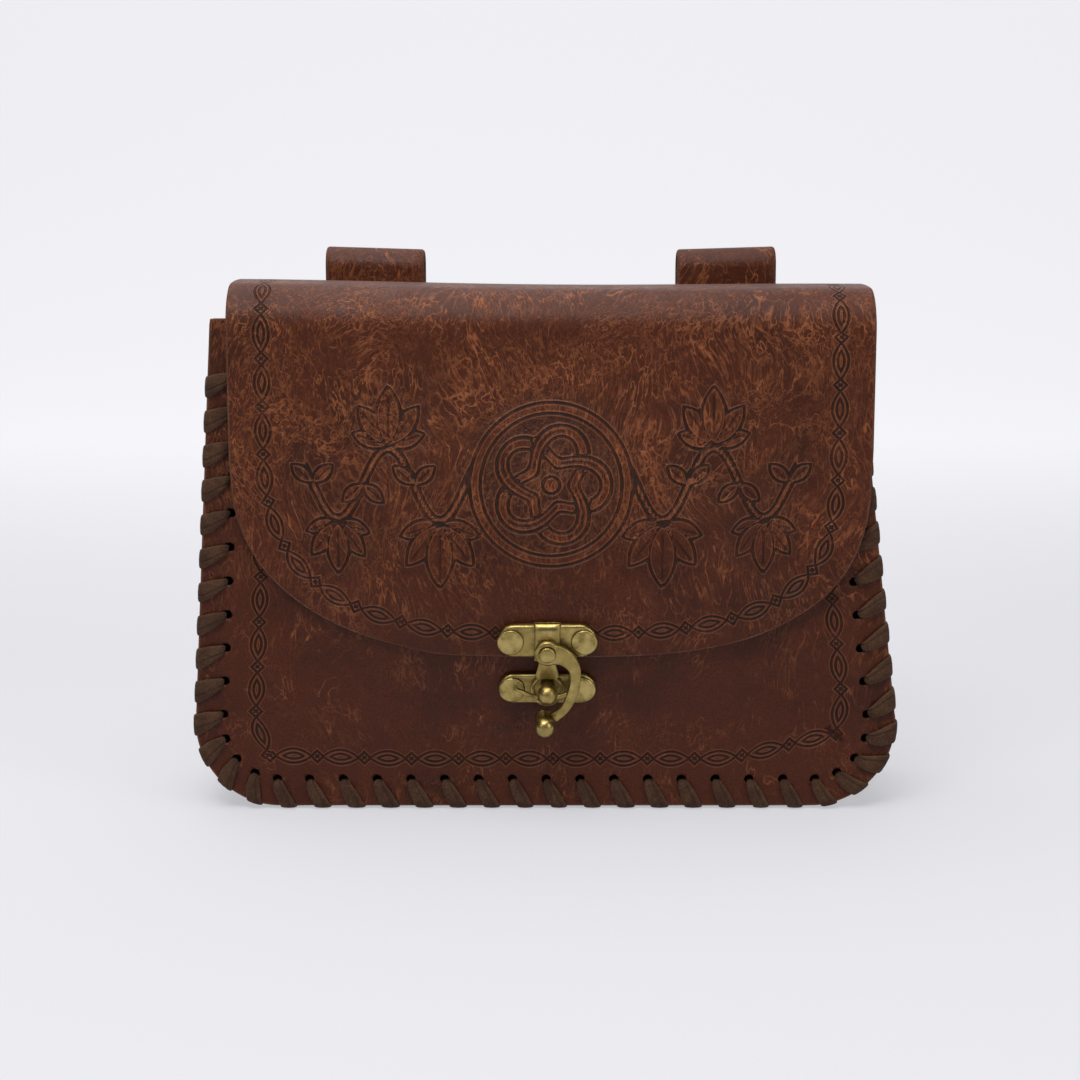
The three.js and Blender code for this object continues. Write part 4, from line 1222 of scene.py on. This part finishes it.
    def arm(self, looks: "Looks") -> None:
        """Swing arm: hub, C-shaped band, prong that catches behind the post, and the knob."""
        c = CLASP
        line = spline(ARM_LINE, 56)
        patches = self.band(line, c.arm_level, c.arm_thick)
        hub = np.array([
            (c.pivot_radius + 0.3, c.arm_level), (c.hub - 0.25, c.arm_level), (c.hub, c.arm_level + 0.3),
            (c.hub, c.arm_level + 1.4), (c.hub - 0.3, c.arm_level + 1.85), (c.hub - 0.8, c.arm_level + 2.0),
            (c.pivot_radius + 0.3, c.arm_level + 2.0), (c.pivot_radius + 0.3, c.arm_level),
        ])
        patches += self.lathe(0.0, c.pivot_up, hub)
        turn = np.linspace(c.prong_root, c.prong_tip, 40)
        share = np.linspace(0, 1, 40)
        width = c.prong_width * (1.25 - 0.35 * smooth(share, 0, 0.5)) * (1 - 0.75 * smooth(share, 0.86, 1.0))
        across, up = c.prong_radius * np.sin(turn), c.pivot_up - c.prong_radius * np.cos(turn)
        prong = np.stack([across, up, width], 1)
        patches += self.band(prong, c.arm_level, c.prong_thick, 0.6)
        patches += self.ball(c.knob_across, c.knob_up, c.knob_neck, c.knob_ball, c.arm_level, c.knob_level,
                             c.knob_foot)
        self.cast("clasp swing arm", patches, looks.brass, "swing_arm", "arm")

    def rivets(self, looks: "Looks") -> None:
        """Four rivets with flat round heads and a washer head inside."""
        c = CLASP
        rows = (("upper", c.upper_rivets, c.spacing, c.upper_level + c.upper_thick, SIZES.gap),
                ("lower", c.lower_rivets, 0.0, c.lower_level + c.lower_thick, -SIZES.wall - 0.95))
        for name, spacing, up, top, base in rows:
            for side, sign in (("left", -1), ("right", 1)):
                profile = np.array([
                    (0.0, base), (1.2, base), (1.2, top + 0.33), (3.5, top + 0.35), (3.8, top + 0.5),
                    (3.7, top + 0.8), (3.35, top + 0.95), (2.2, top + 1.02), (0.0, top + 1.04),
                ])
                patches = self.lathe(sign * spacing / 2, up, profile)
                self.cast(f"{name} rivet {side}", patches, looks.brass_worn, f"{name}_rivet_{side}")

    def build(self, looks: "Looks") -> None:
        """All the brass pieces on the front."""
        self.upper_plate(looks)
        self.lower_plate(looks)
        self.arm(looks)
        self.rivets(looks)


class Tooling(Enum):
    """Which tooled lines a leather piece carries."""

    PLAIN = 0
    BODY = 1
    FLAP = 2


@dataclass(frozen=True)
class LeatherFinish:
    """Colours and lengths of the leather's surface; lengths in millimetres."""

    base: str = "#461f0f"
    dark: str = "#2a1107"
    warm: str = "#542613"
    # hair: pale colour of the hairline creases, also used as the painted highlight on the raised rims of the
    # tooling.
    hair: str = "#925633"
    line: str = "#140d0a"
    flesh: str = "#4c362b"
    cut: str = "#70503e"
    tone_length: float = 26.0
    spot_length: float = 3.4
    pore_length: float = 0.55
    roughness: float = 0.44


@dataclass(frozen=True)
class BrassFinish:
    """Colours and lengths of the antiqued brass; lengths in millimetres."""

    bright: str = "#c2ad70"
    base: str = "#9a8650"
    dark: str = "#5a4c2a"
    tone_length: float = 4.2
    fine_length: float = 0.7
    roughness: float = 0.3


@dataclass(frozen=True)
class SuedeFinish:
    """Colours and lengths of the suede lace; lengths in millimetres."""

    base: str = "#432b1d"
    light: str = "#543926"
    # dark: colour of the dark flecks of nap, also painted into each strip's crease as shade.
    dark: str = "#23150e"
    # rim: paler colour painted along the edges of each strip as a highlight.
    rim: str = "#57453a"
    tone_length: float = 4.0
    nap_length: float = 0.5


class Graph:
    """Builds a material's nodes."""

    def __init__(self, name: str) -> None:
        """Starts an empty material."""
        self.material = bpy.data.materials.new(name)
        self.material.use_nodes = True
        self.tree = self.material.node_tree
        self.tree.nodes.clear()

    def add(self, kind: str, inputs: Optional[dict] = None, output: int = 0, **settings):
        """Adds one node, sets it, links or fills its inputs and returns one of its outputs."""
        node = self.tree.nodes.new("ShaderNode" + kind)
        for name, value in settings.items():
            setattr(node, name, value)
        for key, value in (inputs or {}).items():
            if isinstance(value, bpy.types.NodeSocket):
                self.tree.links.new(value, node.inputs[key])
            else:
                node.inputs[key].default_value = value
        return node.outputs[output] if len(node.outputs) else node

    def fold(self, operation: str, *values):
        """Arithmetic over any number of values, from the left."""
        result = values[0]
        for value in values[1:]:
            result = self.add("Math", {0: result, 1: value}, operation=operation)
        return result

    def plus(self, *values):
        """Sum of the values."""
        return self.fold("ADD", *values)

    def minus(self, *values):
        """The first value less the others."""
        return self.fold("SUBTRACT", *values)

    def times(self, *values):
        """Product of the values."""
        return self.fold("MULTIPLY", *values)

    def most(self, *values):
        """The largest of the values."""
        return self.fold("MAXIMUM", *values)

    def size(self, value):
        """The value without its sign."""
        return self.add("Math", {0: value}, operation="ABSOLUTE")

    def band(self, value, low: float, high: float, start: float = 0.0, end: float = 1.0):
        """A soft step of a value between two limits."""
        return self.add("MapRange", {0: value, 1: low, 2: high, 3: start, 4: end},
                        interpolation_type="SMOOTHSTEP")

    def near(self, value, low: float, high: float, start: float = 1.0):
        """A share that is full below low and dies out at high."""
        return self.band(value, low, high, start, 0.0)

    def mix(self, share, first, second):
        """Blends two colours."""
        return self.add("Mix", {0: share, 6: first, 7: second}, output=2, data_type="RGBA")

    def tint(self, colour, mask, share: float, code: str):
        """Draws a colour towards another one where the mask is set."""
        return self.mix(self.times(mask, share), colour, linear(code))

    def millimetres(self):
        """The place on the object, in millimetres."""
        return self.add("VectorMath", {0: self.add("TexCoord", output=3), "Scale": 1000.0}, operation="SCALE")

    def noise(self, place, length: float, detail: float = 3.0, rough: float = 0.55, output: int = 0,
              twist: float = 0.0):
        """Cloudy noise whose features are about length millimetres across."""
        return self.add("TexNoise", {"Vector": place, "Scale": 1.0 / length, "Detail": detail,
                                     "Roughness": rough, "Distortion": twist}, output=output)

    def shifted(self, place, by):
        """A place moved by a vector."""
        return self.add("VectorMath", {0: place, 1: by}, operation="ADD")

    def pair(self, layer: str) -> tuple:
        """The two values of a corner map."""
        first = self.add("SeparateXYZ", {0: self.add("UVMap", uv_map=layer)})
        return first, first.node.outputs[1]

    def close(self, **inputs) -> bpy.types.Material:
        """Ends the material with a shader; its sockets are named with underscores for spaces."""
        named = {key.replace("_", " "): value for key, value in inputs.items()}
        self.add("OutputMaterial", {"Surface": self.add("BsdfPrincipled", named)})
        return self.material

    def relief(self, height, strength: float, distance: float = MM):
        """Bump from a height in millimetres."""
        return self.add("Bump", {"Height": height, "Strength": strength, "Distance": distance})


@dataclass(frozen=True)
class Crease:
    """A layer of hairline creases; lengths in millimetres, turn in radians about the depth axis."""

    seed: float
    spacing: float
    stretch: float
    width: float
    strength: float
    start: float
    turn: float


CREASES = (
    Crease(3.0, 3.1, 0.26, 0.034, 1.0, 0.40, 0.2),
    Crease(31.0, 2.3, 0.26, 0.040, 1.0, 0.43, -0.6),
    Crease(53.0, 2.7, 0.28, 0.036, 0.9, 0.43, 1.1),
    Crease(77.0, 1.4, 0.32, 0.055, 0.6, 0.38, 0.3),
)


class Looks:
    """The materials of the pouch."""

    def __init__(self, leather: LeatherFinish = LeatherFinish(), metal: BrassFinish = BrassFinish(),
                 suede: SuedeFinish = SuedeFinish()) -> None:
        """Makes every material once."""
        self.leather = leather
        self.metal = metal
        self.lace = suede
        self.grain = {kind: self.grain_side(kind) for kind in Tooling}
        self.flesh = self.fibrous("veg-tanned leather, flesh side", leather.flesh, leather.dark, 0.9)
        self.cut = self.fibrous("veg-tanned leather, cut edge", leather.cut, leather.base, 0.45)
        self.suede = self.suede_nap()
        self.brass = self.cast_brass("antiqued cast brass", 0.0)
        self.brass_worn = self.cast_brass("antiqued brass, rubbed rivet heads", 0.12)

    def sheet(self, kind: Tooling) -> list[bpy.types.Material]:
        """Grain side, flesh side and cut edge of a leather piece."""
        return [self.grain[kind], self.flesh, self.cut]

    @staticmethod
    def chain_mask(g: Graph):
        """Tooled chain: squares on their corners between pointed ovals, each with an inner figure.

        With q the distance to the nearest square and a the distance from the middle line, the square lies
        where q + a is its size. An oval lies where a is half(1 − (c/reach)²), c being the distance to its
        middle.
        """
        along, across = g.pair("chain")
        half_pitch = BORDER.pitch / 2
        q = g.fold("PINGPONG", g.plus(along, 40 * BORDER.pitch), half_pitch)
        a = g.size(across)
        c = g.minus(half_pitch, q)
        square = g.size(g.minus(g.plus(q, a), BORDER.square))
        figures = [g.times(square, 0.75), g.minus(g.most(q, a), BORDER.dot)]
        for reach, half in (BORDER.oval, BORDER.inner_oval):
            bow = g.fold("POWER", g.fold("DIVIDE", c, reach), 2.0)
            figures.append(g.size(g.minus(a, g.times(g.minus(1.0, bow), half))))
        return g.fold("MINIMUM", *figures)

    def creases(self, g: Graph, place):
        """Pale hairlines in loose groups, denser towards the top, that follow a slow drift of the hide."""
        cloud = g.noise(place, 42.0, 1.0, 0.5, output=1)
        flowing = g.shifted(place, g.add("VectorMath", {0: cloud, "Scale": 36.0}, operation="SCALE"))
        rise = g.band(g.add("SeparateXYZ", {0: place}, output=2), 35.0, 105.0, 0.1, -0.03)
        layers = []
        for crease in CREASES:
            seed = crease.seed
            turned = g.add("Mapping", {0: flowing, "Location": (seed, seed * 0.7, -seed),
                                       "Rotation": (0.0, crease.turn, 0.0),
                                       "Scale": (1.0, 1.0, crease.stretch)})
            drawn = g.noise(turned, crease.spacing, 2.2, 0.5, twist=0.25)
            fine = g.times(g.near(g.size(g.minus(drawn, 0.5)), 0.0, crease.width), crease.strength)
            where = g.noise(g.shifted(place, (seed, 0.0, seed)), 13.0 + seed * 0.08, 3.0, 0.6)
            layers.append(g.times(fine, g.band(g.minus(where, rise), crease.start, crease.start + 0.3)))
        return g.times(g.most(*layers), g.band(g.noise(place, 1.6, 2.0), 0.3, 0.55, 0.35, 1.0))

    def grain_side(self, kind: Tooling) -> bpy.types.Material:
        """Grain side of oiled vegetable-tanned leather: reddish brown and waxy, with pale hairlines; tooled
        pieces add dark pressed lines and a painted highlight on their raised rims.
        """
        f = self.leather
        g = Graph(f"veg-tanned leather, grain side, {kind.name.lower()}")
        place = g.millimetres()
        tone = g.noise(place, f.tone_length, 3.0, 0.5)
        spots = g.noise(place, f.spot_length, 4.0, 0.6)
        pores = g.noise(place, f.pore_length, 3.0, 0.65)
        colour = g.mix(g.band(tone, 0.22, 0.55, 0.35, 1.0), linear(f.dark), linear(f.base))
        colour = g.tint(colour, g.band(spots, 0.45, 0.75), 0.35, f.warm)
        colour = g.tint(colour, g.near(pores, 0.36, 0.56), 0.55, f.dark)
        hair = self.creases(g, place)
        colour = g.tint(colour, hair, 0.72, f.hair)
        height = g.plus(g.times(pores, 0.09), g.times(spots, 0.16), g.times(hair, 0.07))
        rough = g.plus(f.roughness, g.times(g.minus(spots, 0.5), 0.35))
        if kind is not Tooling.PLAIN:
            nearest = self.chain_mask(g)
            pressed = g.near(nearest, 0.14, 0.38)
            # Raised rims beside the pressed lines: used below for real relief and for a painted highlight.
            raised = g.times(g.band(nearest, 0.36, 0.55), g.near(nearest, 0.6, 0.85))
            if kind is Tooling.FLAP:
                outline, inner = g.pair("motif")
                edge = g.size(outline)
                pressed = g.most(pressed, g.near(edge, 0.2, 0.5), g.near(g.size(inner), 0.12, 0.4, 0.75))
                raised = g.most(raised, g.times(g.band(edge, 0.42, 0.6), g.near(edge, 0.65, 0.95)))
                beaten, _ = g.pair("ground")
                pebbles = g.noise(place, 1.1, 2.0, 0.5)
                colour = g.tint(colour, beaten, 0.42, f.line)
                height = g.plus(height, g.times(beaten, g.minus(g.times(pebbles, 0.35), 0.32)))
            worn = g.band(g.noise(place, 7.0, 3.0), 0.3, 0.62, 0.62, 1.0)
            colour = g.tint(colour, g.times(pressed, worn), 0.85, f.line)
            # Painted highlight: the raised rims of the tooling are tinted with the pale hairline colour, as
            # if they caught the light.
            colour = g.tint(colour, raised, 0.26, f.hair)
            height = g.plus(g.minus(height, g.times(pressed, 0.42)), g.times(raised, 0.1))
            rough = g.plus(rough, g.times(pressed, 0.15))
        return g.close(Base_Color=colour, Roughness=rough, Normal=g.relief(height, 0.9),
                       Specular_IOR_Level=0.2, IOR=1.45)

    @staticmethod
    def fibrous(name: str, base: str, dark: str, length: float) -> bpy.types.Material:
        """Raw side or cut edge of the leather: dull and fibrous, paler than the dyed grain."""
        g = Graph(name)
        place = g.millimetres()
        fibre = g.noise(place, length, 4.0, 0.65)
        patches = g.noise(place, 12.0, 3.0, 0.5)
        colour = g.mix(g.band(fibre, 0.3, 0.7), linear(dark), linear(base))
        colour = g.tint(colour, g.near(patches, 0.35, 0.65), 0.5, dark)
        return g.close(Base_Color=colour, Roughness=0.85, Normal=g.relief(fibre, 0.5, 0.2 * MM),
                       Specular_IOR_Level=0.25)

    def suede_nap(self) -> bpy.types.Material:
        """Suede lace: dark brown nap that shows dull and soft, with a crease pulled along each strip that is
        darkened with painted shade, and edges made paler with a painted highlight.
        """
        f = self.lace
        g = Graph("dark brown suede lace")
        place = g.millimetres()
        _, across = g.pair("strip")
        nap = g.noise(place, f.nap_length, 4.0, 0.7)
        tone = g.noise(place, f.tone_length, 3.0, 0.6)
        colour = g.mix(g.band(tone, 0.35, 0.65), linear(f.base), linear(f.light))
        colour = g.tint(colour, g.near(nap, 0.4, 0.7), 0.5, f.dark)
        # Painted shade: the crease along each strip is tinted dark, as if shade lay in the fold; its dip in
        # the bump is real relief.
        crease = g.near(g.size(g.minus(across, 0.35)), 0.02, 0.22)
        colour = g.tint(colour, crease, 0.4, f.dark)
        # Painted highlight: the edges of each strip are tinted paler, as if their rounded sides caught the
        # light.
        colour = g.tint(colour, g.band(g.size(across), 0.72, 0.98), 0.25, f.rim)
        height = g.minus(g.times(nap, 0.25), g.times(crease, 0.25))
        return g.close(Base_Color=colour, Roughness=0.9, Normal=g.relief(height, 0.8), Specular_IOR_Level=0.2,
                       Sheen_Weight=0.06, Sheen_Roughness=0.4)

    def cast_brass(self, name: str, rubbed: float) -> bpy.types.Material:
        """Antiqued cast brass: olive gold, satin, with a dark patina in soft patches and a rubbed shine."""
        f = self.metal
        g = Graph(name)
        place = g.millimetres()
        tone = g.noise(place, f.tone_length, 4.0, 0.6)
        fine = g.noise(place, f.fine_length, 3.0, 0.6)
        colour = g.mix(g.band(tone, 0.2, 0.5), linear(f.dark), linear(f.base))
        colour = g.tint(colour, g.band(tone, 0.5 - rubbed, 0.74 - rubbed), 0.6, f.bright)
        colour = g.tint(colour, g.band(fine, 0.55, 0.75), 0.25, f.dark)
        rough = g.plus(f.roughness, g.times(g.near(tone, 0.3, 0.6), 0.2))
        height = g.plus(g.times(fine, 0.03), g.times(tone, 0.1))
        return g.close(Base_Color=colour, Metallic=1.0, Roughness=rough, Normal=g.relief(height, 0.7))


@dataclass(frozen=True)
class StudioSizes:
    """Camera, backdrop and lights, in millimetres, watts and degrees."""

    target: tuple[float, float, float] = (-1.64, -20.37, 80.15)
    lit: tuple[float, float, float] = (0.0, -10.0, 85.0)
    distance: float = 600.0
    elevation: float = 9.5
    lens: float = 69.44
    floor_colour: str = "#8a8a8e"
    # The backdrop glows with painted light, weaker near the pouch and stronger far behind, in place of lamp
    # light that does not reach it.
    glow_colour: str = "#e9e9ed"
    glow: float = 0.56
    wall_glow: float = 0.9
    world_colour: str = "#f1f1f5"
    world_strength: float = 0.1


LIGHTS = (
    ("overhead softbox", (-100, -60, 900), (1100, 800), 8.5),
    ("high front softbox", (-160, -520, 760), (420, 260), 3.2),
    ("front left softbox", (-620, -760, 520), (420, 520), 1.2),
    ("front right softbox", (700, -620, 420), (420, 520), 2.1),
)


class Studio:
    """Pale seamless backdrop that glows with painted light, soft lights and the camera of the photograph."""

    def __init__(self, sizes: StudioSizes = StudioSizes()) -> None:
        """Keeps the sizes."""
        self.sizes = sizes

    def backdrop(self) -> None:
        """A sheet that runs flat under the pouch and curves up far behind it, glowing with painted light that
        grows stronger towards the back.
        """
        turn = np.linspace(0.05, math.pi / 2, 20)
        depth = np.concatenate([np.linspace(-1400, 900, 24), 900 + 700 * np.sin(turn), np.full(8, 1600.0)])
        rise = np.concatenate([np.zeros(24), 700 - 700 * np.cos(turn), np.linspace(900, 2600, 8)])
        width = np.linspace(-2600, 2600, 14)
        points = np.stack(np.broadcast_arrays(width, depth[:, None], rise[:, None]), -1)
        g = Graph("matt paper backdrop")
        depth_back = g.add("SeparateXYZ", {0: g.millimetres()}, output=1)
        # Painted light: the paper glows, more strongly further back, where the lamps hardly reach.
        glow = g.band(depth_back, 100.0, 1000.0, self.sizes.glow, self.sizes.wall_glow)
        paper = g.close(Base_Color=linear(self.sizes.floor_colour), Roughness=0.9, Specular_IOR_Level=0.1,
                        Emission_Color=linear(self.sizes.glow_colour), Emission_Strength=glow)
        build_object("backdrop", [grid_patch(points)], [paper], placed=True)

    def light(self, name: str, place: tuple, size: tuple, power: float) -> None:
        """A soft panel of light aimed at the pouch."""
        data = bpy.data.lights.new(name, "AREA")
        data.shape = "RECTANGLE"
        data.size, data.size_y = size[0] * MM, size[1] * MM
        data.energy = power
        lamp = bpy.data.objects.new(name, data)
        bpy.context.scene.collection.objects.link(lamp)
        lamp.location = [v * MM for v in place]
        self.aim(lamp, self.sizes.lit)

    @staticmethod
    def aim(seen: bpy.types.Object, target: tuple) -> None:
        """Turns a light or camera towards a point."""
        away = seen.location - Vector([v * MM for v in target])
        seen.rotation_euler = away.to_track_quat("Z", "Y").to_euler()

    def build(self) -> None:
        """Sets up the whole studio."""
        s = self.sizes
        self.backdrop()
        for light in LIGHTS:
            self.light(*light)
        world = bpy.data.worlds.new("pale room")
        world.use_nodes = True
        back = world.node_tree.nodes["Background"]
        back.inputs[0].default_value = linear(s.world_colour)
        back.inputs[1].default_value = s.world_strength
        bpy.context.scene.world = world
        data = bpy.data.cameras.new("camera")
        data.lens = s.lens
        data.sensor_width = 36.0
        data.clip_start, data.clip_end = 0.01, 20.0
        camera = bpy.data.objects.new("camera", data)
        bpy.context.scene.collection.objects.link(camera)
        tilt = math.radians(s.elevation)
        back_off = Vector((0.0, -math.cos(tilt), math.sin(tilt)))
        camera.location = (Vector(s.target) + s.distance * back_off) * MM
        self.aim(camera, s.target)
        bpy.context.scene.camera = camera


def main() -> None:
    """Builds the pouch and its studio."""
    logging.basicConfig(level=logging.INFO, format="%(message)s")
    looks = Looks()
    pieces: Sequence[Callable[[Looks], None]] = (
        FrontPanel().build, Flap().build, Gusset().build, Lacing(-1).build, Lacing(1).build,
        BeltLoop(-1).build, BeltLoop(-1).build_rivets, BeltLoop(1).build, BeltLoop(1).build_rivets,
        Clasp().build,
    )
    for piece in pieces:
        piece(looks)
    Studio().build()
    bpy.context.scene.view_settings.view_transform = "Standard"
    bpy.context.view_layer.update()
    for scene_object in bpy.data.objects:
        if scene_object.type == "MESH" and not scene_object.hide_render:
            triangles = sum(len(p.vertices) - 2 for p in scene_object.data.polygons)
            logging.info("%s: %d triangles", scene_object.name, triangles)


if __name__ == "__main__":
    main()
